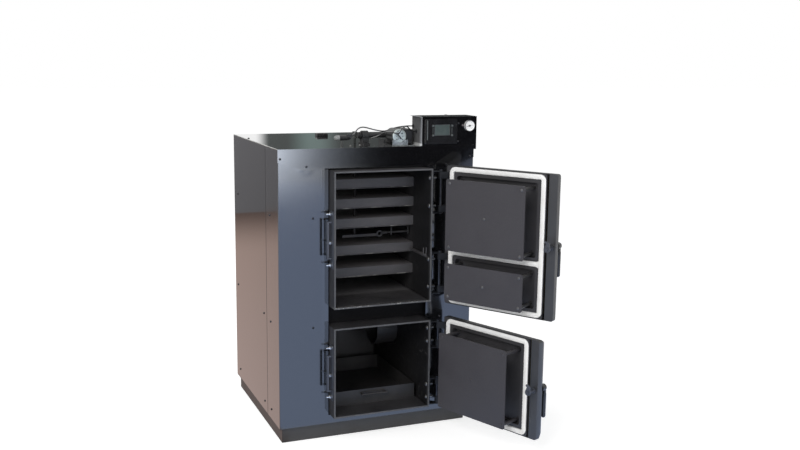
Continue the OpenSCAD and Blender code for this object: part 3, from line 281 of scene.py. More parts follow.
def fold_highlight():
    """A painted highlight along a fold: silvery colour in patches."""
    s = Shader("fold_highlight")
    highlight_patches = s.noise(16, 5, 0.65)
    base = s.blend(s.ranged(highlight_patches, 0.3, 0.6), (0.16, 0.165, 0.16), (0.62, 0.63, 0.61))
    fine = s.noise(300, 3, 0.6)
    return s.finish(base, s.spread(fine, 0.2, 0.35), s.bump(fine, 0.1, 0.0004), Metallic=0.6)


def boiler_plate():
    """Hot-rolled plate in thin grey paint: worn rims in front, sooty grey further in that is made lighter as
    painted light, painted shade on the neck's hinge-side wall, crumbs on the sill.
    """
    s = Shader("boiler_plate")
    x, y, z = s.axes()
    mottle = s.noise(14, 6, 0.65, 0.4)
    base = s.mottled(mottle, (0.017, 0.0165, 0.018), (0.036, 0.035, 0.038))
    mill_scale = s.noise(55, 5, 0.7)
    base = s.marked(base, mill_scale, 0.58, 0.72, 0.35, (0.07, 0.064, 0.06))
    # Sooty grey further in, made lighter as painted light for the dark interior
    soot_and_painted_light = s.ranged(y, FRONT - 0.02, FRONT + 0.16, 0.0, 0.75, True)
    base = s.blend(soot_and_painted_light, base, (0.061, 0.0585, 0.06))
    # Painted shade: near black and less glossy on the neck's inner wall on the hinge side
    shade = s.times(s.ranged(x, NECK_IN - 0.01, NECK_IN - 0.002),
                    s.ranged(y, NECK_FRONT + 0.002, NECK_FRONT + 0.02))
    base = s.blend(s.times(shade, 0.75), base, (0.007, 0.007, 0.0075))
    worn = s.ranged(s.noise(26, 5, 0.7), 0.25, 0.55, 0.25, 0.75)
    rim = s.times(s.ranged(y, NECK_FRONT + 0.0035, NECK_FRONT + 0.0008), worn)
    base = s.blend(rim, base, (0.088, 0.088, 0.091))
    near_floor = s.ranged(z, SILL_Z + 0.01, SILL_Z + 0.007)
    sill = s.times(s.ranged(y, NECK_FRONT + 0.035, NECK_FRONT + 0.0005, smooth=True), near_floor,
                   s.ranged(z, SILL_Z + 0.001, SILL_Z + 0.003))
    crumbs = s.times(s.ranged(s.noise(230, 4, 0.7), 0.56, 0.6), s.ranged(s.noise(9, 2), 0.38, 0.52))
    base = s.blend(s.times(crumbs, sill), base, (0.46, 0.45, 0.42))
    scratch = s.noise(24, 4, 0.7, 2.0, s.stretched((6.0, 1.0, 1.0)))
    scratched = s.times(s.ranged(scratch, 0.6, 0.7, 0.0, 0.5), near_floor)
    base = s.blend(scratched, base, (0.125, 0.122, 0.124))
    normal = s.bump(mill_scale, 0.22, 0.001, s.bump(s.noise(7, 2, 0.5), 0.15, 0.003))
    return s.finish(base, s.ranged(mottle, 0.3, 0.75, 0.4, 0.68), normal,
                    gloss=s.ranged(shade, 0.0, 1.0, 0.42, 0.1))


def shelf_steel():
    """The exchanger shelves: a warm grey face in front, and sooty grey further in, made lighter as painted
    light for the dark interior.
    """
    s = Shader("shelf_steel")
    mottle = s.noise(16, 6, 0.65, 0.4, s.stretched((0.35, 1.0, 1.0)))
    base = s.mottled(mottle, (0.04, 0.038, 0.04), (0.074, 0.07, 0.073))
    rust = s.noise(42, 5, 0.72)
    base = s.marked(base, rust, 0.6, 0.74, 0.4, (0.095, 0.084, 0.075))
    # Sooty grey further in, made lighter as painted light for the dark interior
    inner_soot_and_light = s.ranged(s.axes()[1], SHELF_Y + 0.004, SHELF_Y + 0.03, 0.0, 0.88, True)
    base = s.blend(inner_soot_and_light, base, (0.06, 0.055, 0.056))
    normal = s.bump(rust, 0.3, 0.0012, s.bump(mottle, 0.2, 0.003))
    return s.finish(base, s.ranged(mottle, 0.3, 0.75, 0.45, 0.75), normal, gloss=0.4)


def dark_matt(name, low, high, rough=(0.48, 0.72), grain=420, gloss=0.4, marks=0.25):
    """Matt heat-resistant paint over steel plate, a little mottled, with small handling marks."""
    s = Shader(name)
    mottle = s.noise(9, 6, 0.6, 0.3)
    base = s.blend(s.ranged(mottle, 0.3, 0.72), low, high)
    fine = s.noise(grain, 3, 0.6)
    base = s.marked(base, fine, 0.45, 0.75, 0.25, tuple(c * 1.7 for c in high))
    rubbed = s.noise(33, 6, 0.75, 0.8)
    base = s.marked(base, rubbed, 0.63, 0.74, marks, (0.14, 0.135, 0.13))
    normal = s.bump(fine, 0.22, 0.0006, s.bump(mottle, 0.18, 0.003))
    return s.finish(base, s.ranged(mottle, 0.3, 0.75, *rough), normal, gloss=gloss)


def weld_metal():
    """A weld's ridge: mostly as dark as the plate, brighter in patches that paint its highlights."""
    s = Shader("weld_metal")
    grain = s.noise(300, 3, 0.6)
    # Brighter patches: painted highlights along the shelves' lower edges
    bright = s.times(s.ranged(s.noise(19, 3, 0.6), 0.5, 0.62), s.ranged(grain, 0.35, 0.6, 0.3, 1.0))
    base = s.blend(bright, (0.045, 0.043, 0.044), (0.2, 0.195, 0.19))
    return s.finish(base, s.spread(grain, 0.4, 0.6), s.bump(grain, 0.3, 0.0006))


def rake_steel():
    """Sooty steel, darker and less glossy as painted shade where it runs behind the shelves, and above the
    casing's top a greenish grey matched to the top's reflection, a painted reflection.
    """
    s = Shader("rake_steel")
    height = s.axes()[2]
    mottle = s.noise(22, 5, 0.65, 0.4)
    rubbed = s.mottled(mottle, (0.006, 0.0058, 0.006), (0.019, 0.0183, 0.0185))
    # Painted shade: darker and less glossy where the rake runs behind the shelves
    shaded_colour = s.mottled(mottle, (0.006, 0.006, 0.006), (0.012, 0.0115, 0.012))
    shade_behind_shelves = s.times(s.ranged(height, RAKE_TOP, RAKE_TOP + 0.03), s.ranged(height, TOP, TOP - 0.02))
    base = s.blend(shade_behind_shelves, rubbed, shaded_colour)
    # Greenish grey above the casing's top, matched to the top's reflection: a painted reflection
    base = s.blend(s.ranged(height, TOP, TOP + 0.002), base, (0.062, 0.066, 0.064))
    return s.finish(base, s.spread(mottle, 0.42, 0.62), s.bump(mottle, 0.2, 0.0015),
                    gloss=s.ranged(shade_behind_shelves, 0.0, 1.0, 0.25, 0.08))


def bare_metal(name, low, high, rough, metallic=1.0):
    """Bare or plated metal with a fine grain and slight tarnish."""
    s = Shader(name)
    tarnish = s.noise(24, 5, 0.65, 0.4)
    fine = s.noise(180, 4, 0.6)
    normal = s.bump(fine, 0.15, 0.0006, s.bump(tarnish, 0.12, 0.0015))
    return s.finish(s.mottled(tarnish, low, high), s.spread(fine, *rough), normal, Metallic=metallic)


def side_plate_metal():
    """Galvanised sheet in painted shade, darker towards its top, with painted highlights on a bright rim in
    front and a bright foot.
    """
    s = Shader("side_plate_metal")
    x, y, z = s.axes()
    tarnish = s.noise(24, 5, 0.65, 0.4)
    flake = s.axes(s.cells(95)["Color"])[0]
    # Painted shade: darker towards the plate's top
    base = s.blend(s.ranged(z, TOP + 0.02, TOP + 0.1), (0.155, 0.157, 0.162), (0.052, 0.054, 0.055))
    base = s.blend(s.times(flake, 0.2), base, (0.14, 0.143, 0.147))
    base = s.marked(base, tarnish, 0.35, 0.75, 0.3, (0.06, 0.06, 0.06))
    # Painted highlights: a bright rim along the front fold and the top edge, and a bright foot
    fold = s.times(s.ranged(y, FRONT + 0.004, FRONT + 0.0036), s.ranged(x, 0.1738, 0.1744))
    rim = s.maths("MAXIMUM", fold, s.ranged(z, PLATE_TOP - 0.0022, PLATE_TOP - 0.0016))
    base = s.blend(rim, base, (0.24, 0.245, 0.255))
    base = s.blend(s.ranged(z, TOP + 0.011, TOP + 0.008), base, (0.52, 0.53, 0.53))
    fine = s.noise(180, 4, 0.6)
    return s.finish(base, s.spread(fine, 0.36, 0.5), s.bump(fine, 0.15, 0.0006), 0.2, Metallic=0.05)


def shaded_behind_metal(name, patches, worn, colours, change, rough, metallic):
    """Worn bright metal in front and painted shade behind it in flat dark grey; the change runs between two
    places along y.
    """
    s = Shader(name)
    bright = s.blend(s.ranged(s.noise(*patches), *worn), *colours)
    # Painted shade: flat dark grey behind the bright front
    base = s.blend(s.ranged(s.axes()[1], *change), bright, (0.03, 0.032, 0.032))
    fine = s.noise(180, 4, 0.6)
    return s.finish(base, s.spread(fine, *rough), s.bump(fine, 0.15, 0.0006), Metallic=metallic)


def plastic(name, low, high, rough=(0.25, 0.4), grain=700, texture=0.12, gloss=0.5, coat=0.0):
    """Moulded plastic with a fine spark texture and faint smears."""
    s = Shader(name)
    base = s.mottled(s.noise(12, 4, 0.6), low, high)
    smear = s.noise(22, 4, 0.7, 1.0)
    base = s.marked(base, smear, 0.6, 0.8, 0.12, tuple(c * 1.5 + 0.02 for c in high))
    normal = s.bump(s.noise(grain, 2, 0.5), texture, 0.0004)
    return s.finish(base, s.spread(smear, *rough), normal, gloss=gloss, Coat_Weight=coat)


def sensor_plastic():
    """Black moulding with a pale grey painted highlight at its left end and a foot in the greenish grey of
    the top's reflection, a painted reflection.
    """
    s = Shader("sensor_plastic")
    cloud = s.noise(60, 4, 0.6)
    base = s.mottled(cloud, (0.01, 0.01, 0.011), (0.018, 0.018, 0.019))
    x, y, z = s.axes()
    # The foot in the greenish grey of the top's reflection: a painted reflection
    base = s.blend(s.ranged(z, TOP + 0.016, TOP + 0.014), base, (0.062, 0.066, 0.064))
    # Pale grey at the left end: a painted highlight
    cap = s.ranged(x, -0.114, -0.115)
    base = s.blend(cap, base, s.mottled(cloud, (0.16, 0.17, 0.17), (0.3, 0.31, 0.31)))
    return s.finish(base, s.spread(cloud, 0.3, 0.45), s.bump(s.noise(600, 2, 0.5), 0.1, 0.0004))


def rope_white():
    """Braided glass-fibre rope: off-white yarn, with painted shade in its grey hollows."""
    s = Shader("rope_white")
    yarn = s.noise(620, 4, 0.7)
    stain = s.noise(20, 5, 0.65, 0.5)
    base = s.blend(s.ranged(stain, 0.35, 0.75), (0.95, 0.95, 0.95), (0.86, 0.85, 0.84))
    # Grey in the yarn's hollows: painted shade
    base = s.blend(s.ranged(yarn, 0.3, 0.6, 0.2, 0.0), base, (0.42, 0.41, 0.405))
    return s.finish(base, s.spread(yarn, 0.85, 0.95), s.bump(yarn, 0.5, 0.0012), 0.2, Sheen_Weight=0.25)


def wool():
    """Yellow-brown mineral wool."""
    s = Shader("wool")
    fibre = s.noise(260, 6, 0.75, 1.2)
    base = s.mottled(fibre, (0.3, 0.26, 0.12), (0.55, 0.5, 0.3))
    return s.finish(base, 0.95, s.bump(fibre, 0.6, 0.004), gloss=0.1)


def screen_glass():
    """The dark grey-green display under its cover, with faint smudges."""
    s = Shader("screen_glass")
    smear = s.noise(30, 5, 0.7, 1.0)
    base = s.blend(s.ranged(smear, 0.35, 0.7), (0.058, 0.078, 0.078), (0.08, 0.102, 0.1))
    base = s.marked(base, s.noise(2600, 1, 0.5), 0.45, 0.6, 0.12, (0.04, 0.05, 0.05))
    return s.finish(base, s.spread(smear, 0.12, 0.24), s.bump(smear, 0.05, 0.0004),
                    Coat_Weight=1.0, Coat_Roughness=0.05)


def dial_white():
    """The thermometer's pale face."""
    s = Shader("dial_white")
    cloud = s.noise(40, 4, 0.6)
    base = s.mottled(cloud, (0.86, 0.86, 0.86), (0.93, 0.93, 0.93))
    return s.finish(base, s.spread(cloud, 0.3, 0.45), s.bump(s.noise(500, 2, 0.5), 0.1, 0.0004),
                    Coat_Weight=0.5)


def lens_grey():
    """The unlit lamp's lens: clear plastic over a dark reflector, with a faceted back."""
    s = Shader("lens_grey")
    facet = s.cells(900)[0]
    base = s.blend(s.ranged(facet, 0.0, 0.6), (0.055, 0.045, 0.046), (0.14, 0.12, 0.12))
    return s.finish(base, s.ranged(facet, 0.0, 0.6, 0.12, 0.3), s.bump(facet, 0.3, 0.0006), Coat_Weight=1.0)


MATERIALS = {
    "paint": powder_coat("casing_paint", (0.0032, 0.0032, 0.0037), 0.07, 0.025, 0.03),
    "front_paint": powder_coat("front_paint", (0.005, 0.0052, 0.0062), 0.14, 0.05, 0.05, apron_shape),
    "fold": fold_highlight(),
    "plate": boiler_plate(),
    "shelf": shelf_steel(),
    "sooty": dark_matt(
        "sooty_steel", (0.012, 0.0115, 0.012), (0.034, 0.032, 0.032), (0.4, 0.65), 380, gloss=0.5),
    "deep": dark_matt(
        "vessel_front", (0.005, 0.005, 0.0055), (0.009, 0.0085, 0.0095), (0.6, 0.8), 300, 0.08, marks=0.1),
    "rake": rake_steel(),
    "weld": weld_metal(),
    "door_in": dark_matt("door_inside", (0.026, 0.025, 0.027), (0.04, 0.038, 0.041)),
    "door_out": dark_matt(
        "door_outside", (0.022, 0.022, 0.023), (0.034, 0.034, 0.036), (0.38, 0.52), 700, gloss=0.5),
    "deflector": dark_matt(
        "deflector_plate", (0.031, 0.0286, 0.032), (0.042, 0.0395, 0.044), (0.5, 0.7), 300, marks=0.12),
    "bracket": dark_matt(
        "bracket_paint", (0.022, 0.024, 0.031), (0.044, 0.048, 0.062), (0.28, 0.5), 500, gloss=0.5),
    "hinge": dark_matt(
        "hinge_paint", (0.005, 0.0055, 0.0065), (0.012, 0.013, 0.016), (0.35, 0.55), 500, 0.2, marks=0.12),
    "cast": dark_matt("dark_cast", (0.014, 0.014, 0.015), (0.026, 0.026, 0.027), (0.45, 0.65), 260),
    "black_zinc": bare_metal("black_zinc", (0.03, 0.03, 0.033), (0.07, 0.07, 0.075), (0.25, 0.4)),
    "zinc": bare_metal("zinc", (0.5, 0.51, 0.53), (0.7, 0.71, 0.72), (0.2, 0.38)),
    "steel": bare_metal("steel", (0.12, 0.12, 0.12), (0.22, 0.215, 0.21), (0.35, 0.5)),
    "dull_bolt": bare_metal(
        "dull_bolt", (0.065, 0.064, 0.066), (0.125, 0.122, 0.12), (0.4, 0.55), metallic=0.7),
    "side_plate": side_plate_metal(),
    "motor_plate": shaded_behind_metal(
        "motor_plate_metal", (60, 5, 0.7, 0.6), (0.35, 0.65), ((0.13, 0.14, 0.137), (0.4, 0.42, 0.41)),
        (FRONT + 0.022, FRONT + 0.024), (0.3, 0.46), 0.8),
    "motor": shaded_behind_metal(
        "motor_silver", (36, 5, 0.65, 0.4), (0.3, 0.7), ((0.3, 0.34, 0.33), (0.52, 0.57, 0.55)),
        (FRONT + 0.0275, FRONT + 0.0285), (0.28, 0.44), 0.6),
    "black": plastic("black_plastic", (0.01, 0.01, 0.011), (0.016, 0.016, 0.017)),
    "gloss_black": plastic(
        "gloss_black", (0.008, 0.008, 0.009), (0.013, 0.013, 0.014), (0.1, 0.2), coat=1.0),
    "sensor": sensor_plastic(),
    "rubber": plastic(
        "rubber", (0.014, 0.014, 0.014), (0.024, 0.024, 0.024), (0.5, 0.7), 500, texture=0.2, gloss=0.35),
    "button": plastic("button_grey", (0.04, 0.046, 0.046), (0.06, 0.068, 0.067), (0.35, 0.5)),
    "mark": plastic("printed_grey", (0.1, 0.11, 0.107), (0.14, 0.15, 0.147), (0.35, 0.5)),
    "strip": plastic("strip_grey", (0.058, 0.064, 0.062), (0.078, 0.085, 0.083), (0.4, 0.55)),
    "dark_mark": plastic("printed_black", (0.012, 0.012, 0.013), (0.03, 0.03, 0.03), (0.4, 0.55)),
    "rope": rope_white(),
    "wool": wool(),
    "screen": screen_glass(),
    "dial": dial_white(),
    "lens": lens_grey(),
}


# Mesh helpers
def body_of(node):
    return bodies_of(NODES[node])[0]


def coat(mesh, material):
    """Gives a mesh one material."""
    mesh.materials.clear()
    mesh.materials.append(MATERIALS[material])


def dress(node, material):
    """A CAD node that is shown as it is."""
    coat(NODES[node].data, material)


def to_mesh(name, bm):
    mesh = bpy.data.meshes.new(name)
    bm.to_mesh(mesh)
    bm.free()
    return mesh


def piece(name, bm, material, replaced=(), smooth=35, body="boiler"):
    """A new object with one material that rides on a body and may stand for CAD nodes."""
    mesh = to_mesh(name, bm)
    for polygon in mesh.polygons:
        polygon.use_smooth = True
    mesh.set_sharp_from_angle(angle=math.radians(smooth))
    coat(mesh, material)
    obj = placed(name, mesh)
    even = obj.modifiers.new("even_shading", "WEIGHTED_NORMAL")
    even.keep_sharp = True
    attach(obj, body)
    if replaced:
        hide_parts(*replaced)


def cad_copy(node):
    """A CAD node's mesh with its split corners joined."""
    bm = bmesh.new()
    bm.from_mesh(NODES[node].data)
    bmesh.ops.remove_doubles(bm, verts=bm.verts[:], dist=SPLIT)
    return bm


def welded(node):
    """A CAD node's mesh with its flat faces made whole as well."""
    bm = cad_copy(node)
    bmesh.ops.dissolve_limit(bm, angle_limit=FLAT, verts=bm.verts[:], edges=bm.edges[:])
    return bm


def round_edges(bm, width, chosen=None, segments=2):
    """Rounds the sharp edges, or those among them that a test of their two ends chooses."""
    edges = [e for e in bm.edges if len(e.link_faces) == 2 and e.calc_face_angle(0.0) > SHARP
             and (chosen is None or chosen(e.verts[0].co, e.verts[1].co))]
    if edges:
        bmesh.ops.bevel(bm, geom=edges, offset=width, segments=segments, profile=0.5,
                        affect="EDGES", clamp_overlap=True)


def eased(node, material, width=None, pick=(), segments=2):
    """The CAD node with its sharp edges rounded, by one width or by pairs of a width and a test."""
    bm = welded(node)
    for wide, chosen in pick or ((width, None),):
        round_edges(bm, wide, chosen, segments)
    piece(node + "_eased", bm, material, (node,), body=body_of(node))


def tangents(points, closed=False):
    """Which way the line runs at each point."""
    before = points[-1:] if closed else points[:1]
    after = points[:1] if closed else points[-1:]
    return [(b - a).normalized() for a, b in zip(before + points[:-1], points[1:] + after)]


def frames_along(points):
    """A pair of steady cross directions at each of a run of points."""
    out = []
    side = None
    for tangent in tangents(points):
        if side is None:
            seed = Vector((0, 0, 1)) if abs(tangent.z) < 0.9 else Vector((0, 1, 0))
            side = tangent.cross(seed).normalized()
        else:
            side = (side - tangent * side.dot(tangent)).normalized()
        out.append((side, tangent.cross(side)))
    return out


def skinned(bm, rings, closed):
    """Faces between neighbouring rings, of which some may be a single point, and end caps."""
    for one, two in zip(rings, rings[1:] + rings[:1] if closed else rings[1:]):
        sides = max(len(one), len(two))
        for k in range(sides):
            n = (k + 1) % sides
            corners = (one[k % len(one)], one[n % len(one)], two[n % len(two)], two[k % len(two)])
            unique = list(dict.fromkeys(corners))
            if len(unique) > 2:
                bm.faces.new(unique)
    for end in () if closed else (rings[0][::-1], rings[-1]):
        if len(end) > 2:
            bm.faces.new(end)
    bmesh.ops.recalc_face_normals(bm, faces=bm.faces[:])
    return bm


def swept(points, section, closed=False, cross=None):
    """Sweeps section(i), a ring of (across, up) pairs, along the points."""
    bm = bmesh.new()
    rings = []
    for i, (side, up) in enumerate(cross or frames_along(points)):
        rings.append([bm.verts.new(points[i] + side * a + up * b) for a, b in section(i)])
    return skinned(bm, rings, closed)


def stepped(points, step):
    """Points at about even steps along straight stretches, all but the last one."""
    out = []
    for a, b in zip(points, points[1:]):
        steps = max(1, round((b - a).length / step))
        out += [a.lerp(b, k / steps) for k in range(steps)]
    return out


def smooth_line(points, step):
    """A Catmull-Rom curve through the points, at about even steps."""
    out = []
    pts = [points[0], *points, points[-1]]
    for a, b, c, d in zip(pts, pts[1:], pts[2:], pts[3:]):
        steps = max(2, round((c - b).length / step))
        for k in range(steps):
            t = k / steps
            out.append(0.5 * (2 * b + (c - a) * t + (2 * a - 5 * b + 4 * c - d) * t * t
                              + (3 * b - a - 3 * c + d) * t ** 3))
    out.append(points[-1].copy())
    return out


def round_points(radius, sides):
    """Points on a circle, as pairs."""
    turns = [math.tau * k / sides for k in range(sides)]
    return [(radius * math.cos(a), radius * math.sin(a)) for a in turns]


def circle(radius, sides, swell=lambda i: 1.0):
    """A round section whose radius swells by swell(i) at the point i."""
    return lambda i: round_points(radius * swell(i), sides)


def joined(parts):
    """Several meshes as one."""
    whole = bmesh.new()
    for part in parts:
        data = to_mesh("part", part)
        whole.from_mesh(data)
        bpy.data.meshes.remove(data)
    return whole


def box(lo, hi, bevel=0.0, segments=2):
    """A box between two corners, with rounded edges when told."""
    bm = bmesh.new()
    bmesh.ops.create_cube(bm, size=1.0)
    lo, hi = Vector(lo), Vector(hi)
    for v in bm.verts:
        v.co = Vector(tuple(lo[i] + (v.co[i] + 0.5) * (hi[i] - lo[i]) for i in range(3)))
    if bevel:
        bmesh.ops.bevel(bm, geom=bm.edges[:], offset=bevel, segments=segments, profile=0.5, affect="EDGES")
    return bm


def lathe(profile, centre, axis, sides=32, ring=False):
    """Turns (radius, height) pairs round an axis through the centre, as a closed ring when told."""
    turn = Vector((0, 0, 1)).rotation_difference(Vector(axis)).to_matrix()
    bm = bmesh.new()
    rings = []
    for radius, height in profile:
        spots = round_points(radius, sides) if radius else [(0.0, 0.0)]
        rings.append([bm.verts.new(Vector(centre) + turn @ Vector((a, b, height))) for a, b in spots])
    return skinned(bm, rings, ring)


def disc(radius, rise, spot, outward, sides, sunk=0.0):
    """A thin round plate that stands proud of a face by its rise."""
    return lathe([(radius, -sunk), (radius, rise), (0.0, rise)], spot, outward, sides)


def turned(bm, angle):
    """Turns a mesh made in the closed door's place to where the door stands open."""
    move = Matrix.Translation(HINGE) @ Matrix.Rotation(angle, 4, "Z") @ Matrix.Translation(-HINGE)
    bmesh.ops.transform(bm, matrix=move, verts=bm.verts[:])
    return bm


def same(a, b):
    return abs(a - b) < 1e-4


# Casing
FOLD_IN = 0.0016
FOLD_R = 0.0021
SEAM_FOOT = 0.062
SEAM_BELOW_TOP = 0.004
SEAM_HALF = 0.0011
SEAM_RISE = 0.0004
APRON_EDGE = FRONT - 0.001
STEEL_SCREWS_X = (-0.3, 0.1)


def build_casing():
    """Folded sheet, rounder at its folds than at its cut edges."""
    def corner(a, b):
        upright = same(a.x, b.x) and same(a.y, b.y)
        return upright and same(abs(a.x), HALF_W) and same(a.y, FRONT)

    def level(a, b):
        return same(a.z, TOP) and same(b.z, TOP)

    def side_fold(a, b):
        return level(a, b) and same(abs(a.x), HALF_W) and same(a.x, b.x)

    def front_fold(a, b):
        return level(a, b) and same(a.y, b.y) and a.y < APRON_EDGE

    front = ((0.0028, corner), (0.0005, lambda a, b: not corner(a, b)))
    eased("front_panel", "front_paint", pick=front, segments=3)
    eased("top_cover", "paint", pick=((0.0026, side_fold), (0.0013, front_fold)), segments=3)
    for node in ("side_panels", "back_panel"):
        eased(node, "paint", 0.0005)
    eased("base_tray", "door_out", 0.001)
    build_casing_lines()
    build_screws()


def build_casing_lines():
    """Silvery folds along the top's sides that paint a highlight, and dark strips down the side panels that
    paint the shade in their seams.
    """
    folds = []
    seams = []
    for side in (-1, 1):
        x, z = side * (HALF_W - FOLD_IN), TOP - FOLD_IN
        folds.append(swept([Vector((x, FRONT, z)), Vector((x, BACK, z))], circle(FOLD_R, 20)))
        seams.append(box((side * HALF_W - SEAM_RISE, SEAM_Y - SEAM_HALF, SEAM_FOOT),
                         (side * HALF_W + SEAM_RISE, SEAM_Y + SEAM_HALF, TOP - SEAM_BELOW_TOP), 0.0002))
    # Silvery beads along the top's side folds: a painted highlight
    piece("top_side_folds", joined(folds), "fold", smooth=50)
    # Dark strips down the side panels: painted shade in the seams
    piece("panel_seam_shade", joined(seams), "rubber")


def head(place, outward, radius, rise):
    """A domed screw head with a socket in its middle."""
    well = radius * 0.45
    profile = [(radius * 0.96, 0.0), (radius, rise * 0.18), (radius * 0.9, rise * 0.55),
               (radius * 0.68, rise * 0.88), (well * 1.15, rise), (well, rise * 0.94),
               (well * 0.92, rise * 0.25), (0.0, rise * 0.2)]
    return lathe(profile, place, outward, 20)


def solid_boxes(node):
    """The lowest and highest corner of each separate solid of a CAD node."""
    bm = cad_copy(node)
    left = set(bm.verts)
    boxes = []
    while left:
        island = set()
        reached = [min(left, key=lambda v: v.index)]
        while reached:
            v = reached.pop()
            if v not in island:
                island.add(v)
                reached += [e.other_vert(v) for e in v.link_edges]
        left -= island
        boxes.append([Vector([end(v.co[i] for v in island) for i in range(3)]) for end in (min, max)])
    bm.free()
    return boxes


def heads_from(boxes):
    """Domed heads that fill the boxes of plain ones; the thinnest way of a box is its axis."""
    parts = []
    for lo, hi in boxes:
        size = hi - lo
        axis = min(range(3), key=lambda i: size[i])
        foot = (lo + hi) / 2
        outward = Vector((0, 0, 0))
        outward[axis] = 1.0 if foot[axis] > 0 else -1.0
        foot[axis] = lo[axis] if outward[axis] > 0 else hi[axis]
        parts.append(head(foot, outward, max(size) / 2, size[axis]))
    return joined(parts)


def build_screws():
    """Black screws all over the casing, and a few of plain steel on the front of its top."""
    def steel(corners):
        middle = (corners[0] + corners[1]) / 2
        return middle.z > TOP and STEEL_SCREWS_X[0] < middle.x < STEEL_SCREWS_X[1] and middle.y < 0.0

    boxes = solid_boxes("casing_screws")
    plain = heads_from([b for b in boxes if not steel(b)])
    bright = heads_from([b for b in boxes if steel(b)])
    piece("casing_screw_heads", plain, "black_zinc", ("casing_screws",), 50)
    piece("top_screw_heads", bright, "steel", ("casing_screws",), 50)


# Doors
ROPE_CORNER = 0.014
ROPE_STEP = 0.0035
ROPE_INSET = 0.0004
ROPE_SIDES = 20
ROPE_SQUARENESS = 0.62
BAR_OVERLAP = 0.0012
PRESSED_LENGTH = 0.016
PRESSED_MORE = 0.55

# The braid's strands and threads: how high they stand, how far their waves turn in a metre, how far
# strands lag towards the rope's sides, and how many threads go round it
STRAND_RISE = 0.00055
STRAND_TURN = 520.0
STRAND_LAG = 2.6 * math.pi
THREAD_RISE = 0.00025
THREAD_TURN = 1370.0
THREADS = 5.0


def rope_path(levels):
    """The outer loop of the rope's centre line, in the closed door's plane."""
    x = ROPE_X - ROPE_CORNER
    low, high = levels[0] + ROPE_CORNER, levels[-1] - ROPE_CORNER
    corners = []
    for cx, cz, start in ((x, high, 0.0), (-x, high, 90.0), (-x, low, 180.0), (x, low, 270.0)):
        for k in range(7):
            a = math.radians(start + 15.0 * k)
            corners.append(Vector((cx + ROPE_CORNER * math.cos(a), 0.0, cz + ROPE_CORNER * math.sin(a))))
    return stepped(corners + corners[:1], ROPE_STEP)


def rope_section(distance, half_w, depth):
    """One ring of the rope: a flattened round, with the herringbone of a braid in its face."""
    ring = []
    for k in range(ROPE_SIDES):
        a = math.tau * k / ROPE_SIDES
        c, s = math.cos(a), math.sin(a)
        x = half_w * math.copysign(abs(c) ** ROPE_SQUARENESS, c)
        y = depth / 2 * math.copysign(abs(s) ** ROPE_SQUARENESS, s)
        strand = math.sin(distance * STRAND_TURN + STRAND_LAG * abs(x) / half_w)
        thread = math.sin(distance * THREAD_TURN + THREADS * a)
        plait = STRAND_RISE * strand + THREAD_RISE * thread
        ring.append((x - math.copysign(abs(plait) * 0.5, x), y + plait * (0.9 if s > 0 else 0.2)))
    return ring


def rope_mesh(points, closed, widen=lambda p: 1.0):
    """A braided rope along the points; widen(p) is how much wider it is pressed at a point."""
    depth = (ROPE_FACE - ROPE_FLOOR) - 2 * ROPE_INSET
    middle = Vector((0, (ROPE_FACE + ROPE_FLOOR) / 2, 0))
    up = Vector((0, 1, 0))
    along = [0.0]
    for a, b in zip(points, points[1:]):
        along.append(along[-1] + (b - a).length)
    wide = [(ROPE_W / 2 - ROPE_INSET) * widen(p) for p in points]
    cross = [(up.cross(tangent).normalized(), up) for tangent in tangents(points, closed)]
    line = [p + middle for p in points]
    return swept(line, lambda i: rope_section(along[i], wide[i], depth), closed, cross)


def build_gasket(node, levels, angle, body):
    """The rope's loop, and a bar of it across the door at each level between its lowest and highest."""
    reach = ROPE_X - ROPE_W / 2 + BAR_OVERLAP
    steps = round(2 * reach / ROPE_STEP)

    def widen(p):
        return 1.0 + PRESSED_MORE * max(0.0, 1.0 - (reach - abs(p.x)) / PRESSED_LENGTH) ** 2

    parts = [rope_mesh(rope_path(levels), True)]
    for level in levels[1:-1]:
        bar = [Vector((-reach + 2 * reach * k / steps, 0.0, level)) for k in range(steps + 1)]
        parts.append(rope_mesh(bar, False, widen))
    piece(node + "_braid", turned(joined(parts), angle), "rope", (node,), 60, body)


def build_door(side, levels, angle, deflector, bolts):
    door = side + "_door"
    build_gasket(door + "_gasket", levels, angle, door)
    eased(door + "_pan", "door_in", 0.0009)
    eased(door + "_cover", "door_out", 0.0009)
    dress(door + "_insulation", "wool")
    eased(side + deflector, "deflector", 0.0012)
    dress(side + "_deflector_bolts", bolts)
    eased(side + "_hinge_lugs", "hinge", 0.0008)
    eased(side + "_latch_hook", "bracket", 0.0007)
    dress(side + "_handle", "black")


def build_doors():
    build_door("upper", UPPER_ROPE, UPPER_OPEN, "_deflectors", "dull_bolt")
    build_door("lower", LOWER_ROPE, LOWER_OPEN, "_deflector", "deflector")


# Boiler body
RIPPLE_STEPS = 3


def bead(start, end, radius, ripple=0.003):
    """A weld bead: a low ridge whose ripples follow one another at an even pitch."""
    line = stepped([start, end], ripple / RIPPLE_STEPS) + [end]
    jitter = [random.uniform(0.9, 1.1) for _ in line]

    def swell(i):
        first = i // RIPPLE_STEPS * RIPPLE_STEPS
        return jitter[first] * (0.86 + 0.16 * abs(math.sin(math.pi * i / RIPPLE_STEPS)))

    return swept(line, circle(radius, 8, swell))


